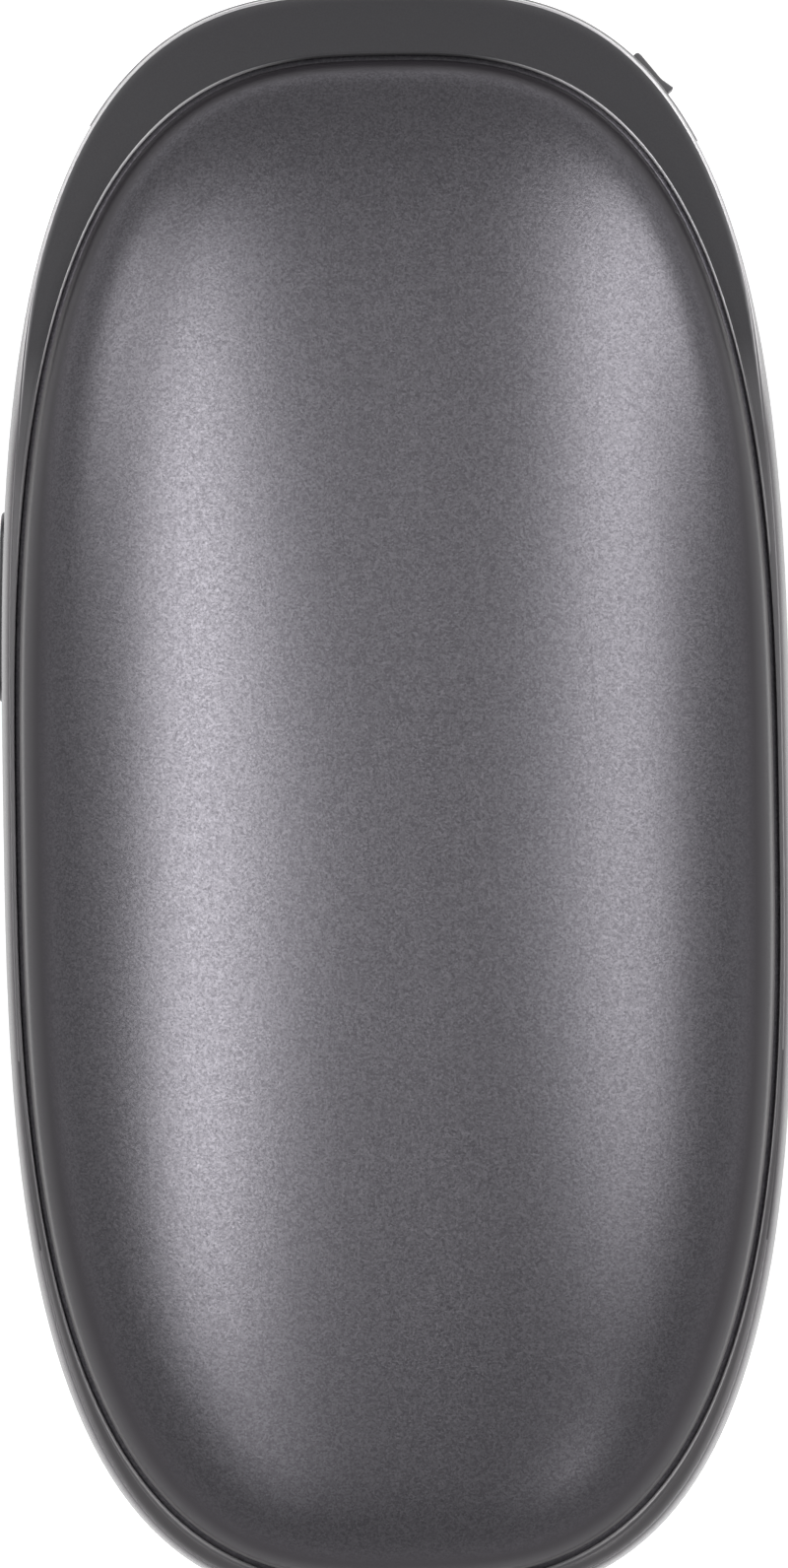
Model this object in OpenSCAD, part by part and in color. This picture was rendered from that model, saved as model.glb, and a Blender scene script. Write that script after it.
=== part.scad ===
// Rechargeable hand warmer and power bank: a pebble-shaped pocket unit with two heated
// shells on a moulded band, a port plate across its top end, and two lithium cells inside.
// The unit lies on its front shell. +Z is the rear face, +Y the end with the ports.

/* [Cells] */
// Diameter of a lithium cell
cell_d = 21.2; // [20.8:0.1:21.6]
// Length of a lithium cell
cell_length = 70.2; // [68:0.1:72]
// Gap between the two cells
cell_gap = 0.6; // [0.4:0.1:1.2]

/* [Body] */
// Room from a cell's side to the outside of the band
side_room = 7.5; // [7.3:0.1:9]
// Room from a cell's top to the crown of a shell
crown_room = 4.4; // [4.3:0.1:6]
// Room from the cells' ends to the bottom end of the body
heel_room = 17.05; // [16.8:0.05:20]
// Room from the cells' ends to the port end of the body
port_room = 31.25; // [31:0.05:35]
// How square the body's outline is: 2 is an ellipse
outline_power = 3.05; // [2.8:0.05:3.3]

/* [Band] */
// Depth of the band at its edges, from the rear edge to the front edge
band_depth = 12; // [11.5:0.25:13]
// Width of the band's edge along the sides, seen from behind
rim_width = 1.05; // [0.9:0.05:1.5]
// Width of the band's edge at the bottom end, seen from behind
heel_width = 1.7; // [1.4:0.1:2.4]
// Width of the crescent at the port end, seen from behind
crescent_width = 4.9; // [4.7:0.1:6.5]
// Fall of the crescent for each millimetre of its width
crescent_slope = 0.12; // [0.08:0.01:0.3]
// How far the band's side swells beyond its edge
band_swell = 0.8; // [0.4:0.05:0.85]
// How far the band swells beyond its edge at the port end
port_swell = 0.4; // [0.3:0.05:0.6]
// Thickness of the band's wall
band_wall = 1.7; // [1.5:0.1:1.9]
// Chamfer along the band's inner lips
lip_chamfer = 0.18; // [0.1:0.02:0.3]
// Depth of the seat that each shell drops into
seat_depth = 1.6; // [1.3:0.1:1.8]
// Width of the seat's ledge
ledge_width = 1.9; // [1.7:0.1:2.1]
// Thickness of the seat's ledge
ledge_thickness = 1.2; // [1:0.1:1.4]

/* [Shells] */
// Thickness of a shell
shell_wall = 1.2; // [1:0.05:1.3]
// Width of the open groove between a shell and the band
groove_width = 0.36; // [0.25:0.01:0.5]
// How far a shell's edge lies under the band's edge
groove_step = 0.3; // [0.1:0.05:0.6]
// How square the shells' outline is
shell_power = 2.85; // [2.7:0.05:3.2]
// How flat the shells' crowns are: 2 is an ellipse
crown_power = 2.3; // [2.2:0.05:2.8]
// Width of a shell's snap hooks
hook_width = 5; // [3:0.5:7]
// How far a snap hook reaches under the ledge
hook_reach = 0.5; // [0.3:0.05:0.7]

/* [Port end] */
// Distance of the port plate's ends from the sides of the body
shoulder_room = 6.7; // [6:0.1:7.5]
// How far the port plate and its notches lie off the centre line, towards the switch
plate_shift = 0.5; // [0:0.1:0.6]
// Depth of the port plate, from its rear edge to its front edge
plate_depth = 8.4; // [7.6:0.1:8.6]
// Thickness of the port plate
plate_wall = 1.4; // [1.2:0.05:1.5]
// Bevel along the port plate's edges
plate_bevel = 0.25; // [0.1:0.05:0.4]
// Length of the lanyard notch at each shoulder, along the outline
notch_length = 2.8; // [2.4:0.1:3.4]
// Depth of the lanyard notch
notch_depth = 2.6; // [2.2:0.1:3]
// Diameter of a lanyard pin
lanyard_pin_d = 1.1; // [0.8:0.1:1.3]

/* [Slide switch] */
// Distance of the switch knob from the end of the port plate, across the body
knob_room = 3.3; // [3.2:0.1:4.8]
// Length of the switch knob
knob_length = 4.1; // [3.8:0.1:4.4]
// Width of the switch knob
knob_width = 3.2; // [2.8:0.1:4]
// Height of the knob's flat above the plate
knob_height = 0.45; // [0.4:0.05:0.8]
// Height of the knob's thumb ridge above its flat
knob_ridge = 0.2; // [0.15:0.05:0.8]
// Travel of the switch
knob_travel = 2; // [1:0.1:2.2]

/* [Power button] */
// Length of the power button
button_length = 14; // [12:0.5:16]
// Height of the power button
button_height = 4; // [3.4:0.1:4.4]
// Distance of the button's middle from the cells' ends
button_back = 13.5; // [12:0.5:15]
// How far the button stands out of the band
button_proud = 0.25; // [0.1:0.05:0.4]
// Travel of the button
button_travel = 0.35; // [0.2:0.05:0.4]

/* [Board and sockets] */
// Distance of the larger socket's middle from the centre line, as a share of half the body's width
usb_a_share = 0.276; // [0.266:0.002:0.29]
// Distance between the middles of the two sockets
socket_pitch = 12.6; // [12.4:0.1:13]
// Thickness of the main board
board_thickness = 1.2; // [1:0.1:1.4]
// Width of the larger socket
usb_a_width = 13.1; // [12.8:0.1:13.4]
// Height of the larger socket
usb_a_height = 5.7; // [5.5:0.05:5.8]
// Length of the larger socket
usb_a_length = 14; // [13:0.5:15]
// Width of the smaller socket
usb_c_width = 8.94; // [8.8:0.01:9.2]
// Height of the smaller socket
usb_c_height = 3.16; // [3.1:0.01:3.3]
// Length of the smaller socket
usb_c_length = 7.3; // [6.5:0.1:8.5]

/* [Hidden] */

// Overrun of every cut, running clearance of a sliding fit, and gap round a fixed piece
overrun = 1;
running_gap = 0.1;
fixed_gap = 0.15;
soft_gap = 0.3;
round_fn = 48;

// The body is built round the two cells. It rests on its front crown, so its middle plane is
// at half its depth.
body_width = 2 * cell_d + cell_gap + 2 * side_room;
body_depth = cell_d + 2 * crown_room;
body_length = cell_length + heel_room + port_room;
middle_z = body_depth / 2;
cell_x = (cell_d + cell_gap) / 2;
cell_end_y = body_length / 2 - port_room;

// Steps round an outline, and the rings of a dome as shares of its outline
outline_steps = 80;
film_steps = 40;
dome_shares = [0.99, 0.97, 0.93, 0.87, 0.79, 0.69, 0.56, 0.4, 0.21];
lining_shares = [0.98, 0.91, 0.8, 0.65, 0.45, 0.21];
film_shares = [0.7, 0.56, 0.4, 0.21];
foam_shares = [0.6, 0.45, 0.21];
swell_shares = [0.3, 0.58, 0.82];
swell_power = 2.2;

// Heights from the middle plane: the band's edge, the seat, its ledge and a shell's edge
edge_z = band_depth / 2;
seat_z = edge_z - seat_depth;
ledge_z = seat_z - ledge_thickness;
dome_base_z = edge_z - groove_step;
dome_height = middle_z - dome_base_z;

// Insets of the main outlines from the body's outline: side, port end and bottom end
facet_inset = [band_swell, port_swell, band_swell];
lip_inset = [rim_width, crescent_width, heel_width];
shell_inset = [for (inset = lip_inset) inset + groove_width];
lining_inset = [for (inset = shell_inset) inset + shell_wall];
ledge_inset = [for (inset = lip_inset) inset + ledge_width];
wall_inset = [band_wall, plate_wall + band_wall, band_wall];

function superellipse(half_width, half_length, power, angle) =
    let (c = cos(angle), s = sin(angle))
    let (k = pow(pow(abs(c), power) + pow(abs(s), power), -1 / power))
    [half_width * c * k, half_length * s * k];

// An outline inset from the body's outline by different amounts at its side and its ends
function outline(inset, power, steps, share = 1) =
    let (half_length = (body_length - inset[1] - inset[2]) / 2)
    let (centre_y = (inset[2] - inset[1]) / 2)
    [for (i = [0 : steps - 1])
        superellipse(share * (body_width / 2 - inset[0]), share * half_length, power,
            360 * i / steps) + [0, centre_y]];

function raised(points, z) = [for (p = points) [p.x, p.y, z]];
function flipped(ring) = [for (p = ring) [p.x, p.y, -p.z]];
function reversed(list) = [for (i = [len(list) - 1 : -1 : 0]) list[i]];

// A point of the body's outline at a distance x from the centre line, and its normal there
function outline_y(x) =
    body_length / 2 * pow(1 - pow(abs(x) / (body_width / 2), outline_power), 1 / outline_power);
function outline_angle(x) = atan2(outline_y(x) / (body_length / 2), x / (body_width / 2));
function outline_point(angle) =
    superellipse(body_width / 2, body_length / 2, outline_power, angle);
function normal_angle(p) =
    atan2(sign(p.y) * pow(abs(p.y) / (body_length / 2), outline_power - 1) / body_length,
        sign(p.x) * pow(abs(p.x) / (body_width / 2), outline_power - 1) / body_width);
function outline_normal(p) = [cos(normal_angle(p)), sin(normal_angle(p))];
function outline_x(y) =
    body_width / 2 * pow(1 - pow(abs(y) / (body_length / 2), outline_power), 1 / outline_power);

// A solid through a list of sections with equal counts of points, each going anticlockwise
// as seen from the section after it
module skin(sections, ring = false) {
    count = len(sections[0]);
    last = len(sections) - 1;
    joints = ring ? last : last - 1;
    faces = [
        for (j = [0 : joints], i = [0 : count - 1])
            let (a = j * count + i, b = j * count + (i + 1) % count)
            let (up = ((j + 1) % len(sections)) * count)
            let (c = up + (i + 1) % count, d = up + i)
            each [[a, d, c], [a, c, b]]];
    caps = ring ? [] : [
        [for (i = [0 : count - 1]) i],
        [for (i = [count - 1 : -1 : 0]) last * count + i]];
    polyhedron([for (section = sections) each section], concat(faces, caps));
}

// Rings of a dome of a given height on an inset outline, from its edge to its flat crown
function crown_height(share) = pow(1 - pow(share, crown_power), 1 / crown_power);
function dome(inset, height, shares, steps) =
    [for (share = shares)
        raised(outline(inset, shell_power, steps, share),
            dome_base_z + height * crown_height(share) / crown_height(min(dome_shares)))];

// A tube along a route, with straight ends square to it
function unit(v) = v / norm(v);
function route_direction(route, i) =
    unit(route[min(i + 1, len(route) - 1)] - route[max(i - 1, 0)]);
module tube(route, diameter) {
    sides = 8;
    skin([for (i = [0 : len(route) - 1])
        let (d = route_direction(route, i))
        let (u = unit(cross(abs(d.z) > 0.9 ? [1, 0, 0] : [0, 0, 1], d)))
        let (v = cross(d, u))
        [for (k = [0 : sides - 1])
            route[i] + diameter / 2 * (cos(360 * k / sides) * u + sin(360 * k / sides) * v)]]);
}

module block(size, place = [0, 0, 0]) {
    translate(place - size / 2) cube(size);
}

// A bar with round ends, its length along X and its depth along Z
module pill(length, width, depth) {
    linear_extrude(depth, center = true) union() {
        square([length - width, width], center = true);
        for (side = [-1, 1])
            translate([side * (length - width) / 2, 0]) circle(d = width, $fn = round_fn);
    }
}

// The frame at a place on an outline: its X axis points outwards and its Y axis runs along it
module on_outline(inset, power, angle) {
    half_width = body_width / 2 - inset[0];
    half_length = (body_length - inset[1] - inset[2]) / 2;
    p = superellipse(half_width, half_length, power, angle);
    turn = atan2(sign(p.y) * pow(abs(p.y) / half_length, power - 1) / half_length,
        sign(p.x) * pow(abs(p.x) / half_width, power - 1) / half_width);
    translate([p.x, p.y + (inset[2] - inset[1]) / 2, middle_z]) rotate(turn) children();
}

module in_middle() { translate([0, 0, middle_z]) children(); }
module in_front() { translate([0, 0, middle_z]) mirror([0, 0, 1]) children(); }

// Snap hooks of a shell: an arm past the ledge and a barb under it
hook_angles = [33, 147, 199, 270, 341];
hook_arm = 1;
hook_root = 1.2;
barb_height = 0.8;
module hook() {
    arm_out = -running_gap;
    arm_in = arm_out - hook_arm;
    root_out = ledge_width - groove_width - shell_wall / 2;
    root_z = seat_z + fixed_gap;
    barb_z = ledge_z - running_gap - barb_height;
    translate([arm_in, -hook_width / 2, barb_z])
        cube([hook_arm, hook_width, root_z + hook_root - barb_z]);
    translate([arm_in, -hook_width / 2, root_z])
        cube([root_out - arm_in, hook_width, hook_root]);
    translate([arm_out, hook_width / 2, barb_z]) rotate([90, 0, 0]) linear_extrude(hook_width)
        polygon([[-hook_arm / 2, 0], [0, 0], [hook_reach, barb_height], [-hook_arm / 2, barb_height]]);
}

module shell() {
    skin(concat(
        reversed(dome(lining_inset, dome_height - shell_wall, lining_shares, outline_steps)),
        [raised(outline(lining_inset, shell_power, outline_steps), dome_base_z)],
        [raised(outline(lining_inset, shell_power, outline_steps), seat_z)],
        [raised(outline(shell_inset, shell_power, outline_steps), seat_z)],
        [raised(outline(shell_inset, shell_power, outline_steps), dome_base_z)],
        dome(shell_inset, dome_height, dome_shares, outline_steps)));
    translate([0, 0, -middle_z])
        for (angle = hook_angles)
            on_outline(ledge_inset, shell_power, angle) hook();
}

module rear_shell() { color("#5c5b60") in_middle() shell(); }
module front_shell() { color("#5c5b60") in_front() shell(); }

// Band: the swell of its side, the crescent, the seats and ledges of both shells
body_ring = outline([0, 0, 0], outline_power, outline_steps);
facet_ring = outline(facet_inset, outline_power, outline_steps);
lip_ring = outline(lip_inset, shell_power, outline_steps);
rim_ring = outline([for (inset = lip_inset) inset - lip_chamfer], shell_power, outline_steps);
ledge_ring = outline(ledge_inset, shell_power, outline_steps);
wall_ring = outline(wall_inset, outline_power, outline_steps);
function facet_fall(i) =
    crescent_slope * max(0, (facet_ring[i] - rim_ring[i]) * outline_normal(body_ring[i]));
facet_section = [for (i = [0 : outline_steps - 1])
    [facet_ring[i].x, facet_ring[i].y, edge_z - facet_fall(i)]];
function swell_section(share) =
    let (blend = 1 - crown_swell(share))
    [for (i = [0 : outline_steps - 1])
        let (p = body_ring[i] * (1 - blend) + facet_ring[i] * blend)
        [p.x, p.y, share * facet_section[i].z]];
function crown_swell(share) = pow(1 - pow(share, swell_power), 1 / swell_power);

rear_half = concat(
    [for (share = swell_shares) swell_section(share)],
    [facet_section, raised(rim_ring, edge_z), raised(lip_ring, edge_z - lip_chamfer),
        raised(lip_ring, seat_z),
        raised(ledge_ring, seat_z), raised(ledge_ring, ledge_z), raised(wall_ring, ledge_z)]);
front_half = [for (section = reversed(rear_half)) flipped(section)];

// Port plate: a strip of even thickness round the port end, from shoulder to shoulder
plate_reach = body_width / 2 - shoulder_room;
plate_steps = 36;
plate_angle = outline_angle(plate_reach);
function end_angle(end) = outline_angle(plate_reach + end * plate_shift);
plate_angles = [for (i = [0 : plate_steps])
    end_angle(1) + (180 - end_angle(1) - end_angle(-1)) * i / plate_steps];
function band_arc(angles, inset) =
    [for (angle = angles)
        let (p = outline_point(angle))
        p - inset * outline_normal(p)];
module band_slot(angles, depth, height) {
    linear_extrude(height, center = true)
        polygon(concat(band_arc(angles, -overrun), reversed(band_arc(angles, depth))));
}

// Lanyard notches, just past the plate's ends
angle_length = norm(outline_point(plate_angle) - outline_point(plate_angle - 1));
notch_angle = notch_length / angle_length;
notch_steps = 6;
notch_floor = 1.2;
notch_height = plate_depth + 2 * running_gap;
pin_place = 0.4 + lanyard_pin_d / 2;
pin_seat = 0.4;
module notch_slot() {
    band_slot([for (i = [0 : notch_steps])
        end_angle($end) - notch_angle
            + (notch_angle + angle_length / outline_steps) * i / notch_steps],
        notch_depth, notch_height);
}
module both_sides() {
    let ($end = 1) children();
    let ($end = -1) mirror([1, 0, 0]) children();
}
module notch_boss(gap = 0) {
    height = ledge_z + seat_z;
    on_outline([0, 0, 0], outline_power, end_angle($end) - notch_angle / 2)
        translate([-notch_depth - notch_floor - gap, -notch_length / 2 - notch_floor - gap,
            -height / 2])
            cube([notch_depth + 2 * gap, notch_length + 2 * notch_floor + 2 * gap, height]);
}

// Sockets: their fronts meet the back of the plate, and both are centred on the middle plane
socket_wall = 0.3;
usb_a_place = -usb_a_share * body_width / 2;
usb_c_place = usb_a_place + socket_pitch;
usb_a_far = abs(usb_a_place) + usb_a_width / 2;
socket_slant = sin(normal_angle([usb_a_far, outline_y(usb_a_far)]));
socket_front = outline_y(usb_a_far) - plate_wall / socket_slant - running_gap;
window_lip = 0.1;
module socket_profile_a(gap) {
    square([usb_a_width + 2 * gap, usb_a_height + 2 * gap], center = true);
}
module socket_profile_c(gap) {
    height = usb_c_height + 2 * gap;
    reach = (usb_c_width - usb_c_height) / 2;
    square([2 * reach, height], center = true);
    for (side = [-1, 1])
        translate([side * reach, 0]) circle(d = height, $fn = round_fn);
}
module along_socket(place, front, length) {
    translate([place, front, middle_z]) rotate([90, 0, 0]) linear_extrude(length) children();
}
module socket_cuts(gap, reach) {
    along_socket(usb_a_place, body_length / 2 + overrun, reach) socket_profile_a(gap);
    along_socket(usb_c_place, body_length / 2 + overrun, reach) socket_profile_c(gap);
}
wall_reach = body_length / 2 + overrun - socket_front + plate_wall + band_wall + overrun;

// Slide switch: the knob rides on the plate, and its stem passes the plate and the band's wall
knob_place = plate_reach + plate_shift - knob_room;
knob_angle = outline_angle(knob_place);
stem_length = 2;
stem_width = 1.8;
stem_reach = plate_wall + band_wall;
lever_length = 1;
lever_width = 0.8;
switch_body_size = [3.4, 5.4, 3.2];
switch_room = 1;
switch_front = stem_reach + switch_room;
module at_knob() { on_outline([0, 0, 0], outline_power, knob_angle) children(); }
module switch_slot() {
    slot = stem_length + knob_travel + 2 * fixed_gap;
    at_knob()
        translate([-stem_reach - overrun, -stem_length / 2 - knob_travel - fixed_gap,
            -stem_width / 2 - fixed_gap])
            cube([stem_reach + 2 * overrun, slot, stem_width + 2 * fixed_gap]);
}

module switch_knob() {
    half = knob_length / 2;
    base = running_gap;
    top = knob_height;
    peak = knob_height + knob_ridge;
    shoulder = knob_height / 2;
    dip = 0.7 * knob_height;
    color("#3a3b3f") at_knob() difference() {
        union() {
            linear_extrude(knob_width, center = true) polygon([
                [base, half], [shoulder, half], [top, half - shoulder],
                [dip, -half + 0.35 * knob_length], [peak, -half + knob_ridge / 2], [peak, -half],
                [base, -half]]);
            translate([-stem_reach, -stem_length / 2, -stem_width / 2])
                cube([stem_reach + base + running_gap, stem_length, stem_width]);
        }
        translate([-stem_reach - overrun, -lever_length / 2 - running_gap / 2,
            -lever_width / 2 - running_gap / 2])
            cube([stem_reach / 2 + overrun, lever_length + running_gap, lever_width + running_gap]);
    }
}

module switch_lever() {
    carriage_back = -switch_front - switch_body_size.x * 0.7;
    lever_front = -stem_reach / 2 - running_gap;
    color("#e8e4da") at_knob() {
        translate([carriage_back, -lever_length / 2, -lever_width / 2])
            cube([lever_front - carriage_back, lever_length, lever_width]);
        translate([carriage_back, -lever_length, -lever_width])
            cube([switch_body_size.x * 0.4, 2 * lever_length, 2 * lever_width]);
    }
}

// The switch stands on the main board, and its window leaves room for the lever's travel
board_top = -usb_c_height / 2;
board_bottom = board_top - board_thickness;
module switch_body() {
    room = 2 * lever_length + knob_travel + 2 * fixed_gap;
    color("#b9bcc0") at_knob() difference() {
        translate([-switch_front - switch_body_size.x, -switch_body_size.y / 2 - knob_travel / 2, board_top])
            cube(switch_body_size);
        translate([-switch_front - switch_body_size.x * 0.8, -lever_length - knob_travel - fixed_gap,
            -lever_width - fixed_gap])
            cube([switch_body_size.x * 0.6, room, 2 * lever_width + 2 * fixed_gap]);
        translate([-switch_front - switch_body_size.x / 2, -lever_length / 2 - knob_travel - fixed_gap,
            -lever_width / 2 - fixed_gap])
            cube([switch_body_size.x, lever_length + knob_travel + 2 * fixed_gap,
                lever_width + 2 * fixed_gap]);
    }
}

// Power button on the left side: it slides along X in its hole, and a flange keeps it in
button_margin = 0.7;
pocket_depth = 0.3;
flange_lip = 0.7;
flange_thickness = 0.8;
button_place = cell_end_y - button_back;
button_side = -outline_x(button_place + button_length / 2);
button_far = -outline_x(button_place - button_length / 2);
flange_x = button_far + band_wall;
module across_button(x, depth) {
    translate([x + depth / 2, button_place, middle_z]) rotate([90, 0, 90])
        children();
}
module proud_outline(proud) {
    linear_extrude(body_depth, center = false)
        polygon(outline([-proud, -proud, -proud], outline_power, outline_steps));
}
module button_cuts() {
    reach = flange_x - button_far + 2 * overrun;
    across_button(button_far - overrun, reach)
        pill(button_length + 2 * running_gap, button_height + 2 * running_gap, reach);
    difference() {
        across_button(button_far - overrun, reach)
            pill(button_length + 2 * button_margin, button_height + 2 * button_margin, reach);
        proud_outline(-pocket_depth);
    }
    flange_length = button_length + 2 * flange_lip + 2 * running_gap;
    flange_height = button_height + 2 * flange_lip + 2 * running_gap;
    across_button(flange_x, band_wall + overrun)
        pill(flange_length, flange_height, band_wall + overrun);
}
module power_button() {
    reach = flange_x - button_far + button_proud + overrun;
    color("#37383b") {
        intersection() {
            across_button(flange_x - reach, reach + flange_thickness / 2)
                pill(button_length, button_height, reach + flange_thickness / 2);
            proud_outline(button_proud);
        }
        across_button(flange_x + running_gap / 2, flange_thickness)
            pill(button_length + 2 * flange_lip, button_height + 2 * flange_lip, flange_thickness);
    }
}

// Behind the button: a domed plunger on a tactile switch, on a small board of its own
dome_d = 3;
tact_size = [1.4, 5.2, 5.2];
button_board_thickness = 0.8;
button_board_length = 13;
rail_wall = 1;
rail_lip = 0.5;
holder_rail = 0.9;
holder_half = cell_x + cell_d / 2 + holder_rail;
button_board_x = -holder_half - fixed_gap - rail_lip - button_board_thickness;
tact_x = button_board_x - tact_size.x;
dome_x = flange_x + flange_thickness + running_gap;
dome_length = tact_x - running_gap - button_travel - dome_x;
module button_dome() {
    color("#c9ccd0") across_button(dome_x, dome_length) union() {
        cylinder(d = dome_d, h = dome_length, center = true, $fn = round_fn);
        translate([0, 0, dome_length / 2])
            cylinder(d = dome_d / 2, h = 2 * button_travel, center = true, $fn = round_fn);
    }
}
module button_switch() {
    color("#1e1f22") difference() {
        block(tact_size, [tact_x + tact_size.x / 2, button_place, middle_z]);
        across_button(tact_x - overrun, 2 * overrun)
            cylinder(d = dome_d / 2 + 2 * fixed_gap, h = 2 * overrun, center = true, $fn = round_fn);
    }
}
module button_board() {
    color("#1f6a3d") block([button_board_thickness, button_board_length, button_height + 2 * flange_lip],
        [button_board_x + button_board_thickness / 2, button_place, middle_z]);
}
module button_rails() {
    for (side = [-1, 1])
        difference() {
            rail_x = button_board_x + button_board_thickness + rail_lip;
            rail_y = button_board_length / 2 + rail_wall / 2;
            translate([button_far + band_wall / 2, button_place + side * rail_y - rail_wall,
                middle_z + lug_low])
                cube([rail_x - button_far - band_wall / 2, 2 * rail_wall, -lug_low + rail_wall]);
            block([button_board_thickness + 2 * running_gap, button_board_length + 2 * running_gap,
                button_height + 4 * flange_lip],
                [button_board_x + button_board_thickness / 2, button_place, middle_z]);
        }
}

// Main board: it follows the band's inner wall, and a notch in it takes the larger socket
board_gap = 0.3;
board_rear_gap = 5;
board_inset = [for (inset = wall_inset) inset + board_gap];
board_rear_y = cell_end_y + board_rear_gap;
board_half = body_width / 2 - board_inset[0];
board_length = body_length / 2 - board_inset[1] - board_rear_y;
function on_board(shares) =
    [shares.x * board_half, board_rear_y + shares.y * board_length];
board_screw_d = 2;
board_screw_shares = [0.763, 0.219];
board_screw_place = on_board(board_screw_shares);
lug_width = 5;
lug_low = running_gap - seat_z;
module board_outline() {
    intersection() {
        polygon(outline(board_inset, outline_power, outline_steps));
        translate([-body_width / 2, board_rear_y]) square([body_width, body_length / 2]);
    }
}
module main_board() {
    color("#1f6a3d") in_middle() difference() {
        translate([0, 0, board_bottom]) linear_extrude(board_thickness) difference() {
            board_outline();
            translate([usb_a_place - usb_a_width / 2 - fixed_gap, socket_front - usb_a_length - fixed_gap])
                square([usb_a_width + 2 * fixed_gap, usb_a_length + body_length / 2]);
        }
        translate([0, 0, -middle_z]) both_sides() notch_boss(board_gap);
        for (side = [-1, 1])
            translate([side * board_screw_place.x, board_screw_place.y, board_bottom - overrun])
                cylinder(d = board_screw_d + 2 * running_gap, h = board_thickness + 2 * overrun,
                    $fn = round_fn);
    }
}

// A screw with a domed head and a cross recess, its head's underside at the origin
module screw(diameter, length) {
    head_d = 1.9 * diameter;
    head_height = 0.6 * diameter;
    recess = 0.28 * diameter;
    difference() {
        union() {
            translate([0, 0, -length]) cylinder(d = diameter, h = length, $fn = round_fn);
            intersection() {
                cylinder(d = head_d, h = head_height, $fn = round_fn);
                translate([0, 0, head_height - head_d]) sphere(d = 2 * head_d, $fn = round_fn);
            }
        }
        for (turn = [0, 90])
            rotate(turn) block([head_d * 0.6, recess, recess * 2], [0, 0, head_height]);
    }
}
module board_screws() {
    color("#c9ccd0") in_middle()
        for (side = [-1, 1])
            translate([side * board_screw_place.x, board_screw_place.y, board_top])
                screw(board_screw_d, board_top - lug_low - running_gap);
}

// Sockets
module usb_a_shell() {
    leg = [1.4, 3, socket_wall];
    color("#c4c8cd") {
        along_socket(usb_a_place, socket_front, usb_a_length) difference() {
            socket_profile_a(0);
            socket_profile_a(-socket_wall);
        }
        along_socket(usb_a_place, socket_front - usb_a_length + socket_wall, socket_wall)
            socket_profile_a(0);
        for (side = [-1, 1], row = [0.4, 0.8])
            block(leg, [usb_a_place + side * (usb_a_width + leg.x) / 2,
                socket_front - usb_a_length * row, middle_z + board_top + leg.z / 2]);
    }
}
usb_tongue_gap = 1.2;
module usb_a_tongue() {
    tongue = [usb_a_width * 0.85, usb_a_length - usb_tongue_gap - socket_wall, usb_a_height / 3];
    base = [usb_a_width - 2 * socket_wall - 2 * running_gap, usb_a_length * 0.3,
        usb_a_height - 2 * socket_wall - 2 * running_gap];
    back_y = socket_front - usb_a_length + socket_wall;
    contact = [tongue.x / 9, tongue.y * 0.55, socket_wall / 2];
    color("#23262b") {
        block(tongue, [usb_a_place, back_y + tongue.y / 2, middle_z + tongue.z / 3]);
        block(base, [usb_a_place, back_y + base.y / 2, middle_z]);
    }
    color("#d9b45a")
        for (i = [-1.5 : 1.5])
            block(contact, [usb_a_place + i * tongue.x / 4.4,
                back_y + tongue.y - contact.y / 2 - socket_wall,
                middle_z + tongue.z / 3 - tongue.z / 2 - contact.z / 2]);
}
module usb_c_shell() {
    leg = [1, 1.6, socket_wall];
    color("#c4c8cd") {
        along_socket(usb_c_place, socket_front, usb_c_length) difference() {
            socket_profile_c(0);
            socket_profile_c(-socket_wall);
        }
        along_socket(usb_c_place, socket_front - usb_c_length + socket_wall, socket_wall)
            socket_profile_c(0);
        for (side = [-1, 1])
            block(leg, [usb_c_place + side * (usb_c_width - usb_c_height) / 2,
                socket_front - usb_c_length - leg.y / 2 + socket_wall / 2,
                middle_z + board_top + leg.z / 2]);
    }
}
module usb_c_tongue() {
    tongue = [usb_c_width * 0.75, usb_c_length - usb_tongue_gap / 2 - socket_wall, usb_c_height * 0.22];
    base = [usb_c_width - usb_c_height, usb_c_length * 0.25,
        usb_c_height - 2 * socket_wall - 2 * running_gap];
    back_y = socket_front - usb_c_length + socket_wall;
    color("#23262b") {
        block(tongue, [usb_c_place, back_y + tongue.y / 2, middle_z]);
        block(base, [usb_c_place, back_y + base.y / 2, middle_z]);
    }
}

// Parts on the board
inductor_size = [6.6, 6.6, 3];
inductor_shares = [0.5185, 0.2626];
module power_inductor() {
    place = on_board(inductor_shares);
    color("#3c3d42") translate([place.x, place.y, middle_z + board_top]) {
        translate([0, 0, inductor_size.z / 2]) intersection() {
            cube(inductor_size, center = true);
            cylinder(d = inductor_size.x * 1.25, h = inductor_size.z, center = true, $fn = round_fn);
        }
        translate([0, 0, inductor_size.z - socket_wall])
            cylinder(d = inductor_size.x * 0.7, h = 2 * socket_wall, $fn = round_fn);
    }
}
function behind_socket(shares) =
    [shares.x * board_half,
        board_rear_y + shares.y * (socket_front - usb_a_length - board_rear_y)];
chip_sizes = [[5, 5, 0.9], [3, 3, 0.8], [4, 4, 1.2]];
chip_shares = [[0.222, 0.446], [0.204, 0.245]];
driver_shares = [-0.578, 0.6];
chip_places = concat([for (shares = chip_shares) on_board(shares)], [behind_socket(driver_shares)]);
module control_chips() {
    lead = [0.4, 0.25];
    color("#202226")
        for (i = [0 : len(chip_sizes) - 1])
            translate(concat(chip_places[i], middle_z + board_top)) {
                size = chip_sizes[i];
                translate([0, 0, size.z / 2]) cube(size, center = true);
                for (row = [-1.5 : 1.5])
                    block([size.x + 2 * lead.x, lead.x, lead.y],
                        [0, row * size.y / 4.5, lead.y / 2]);
            }
}
capacitor_size = [3.2, 1.6, 1.6];
capacitor_shares = [[-0.204, 0.3], [-0.352, 0.3], [-0.352, 0.72]];
filter_shares = [0.5185, 0.057];
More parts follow.
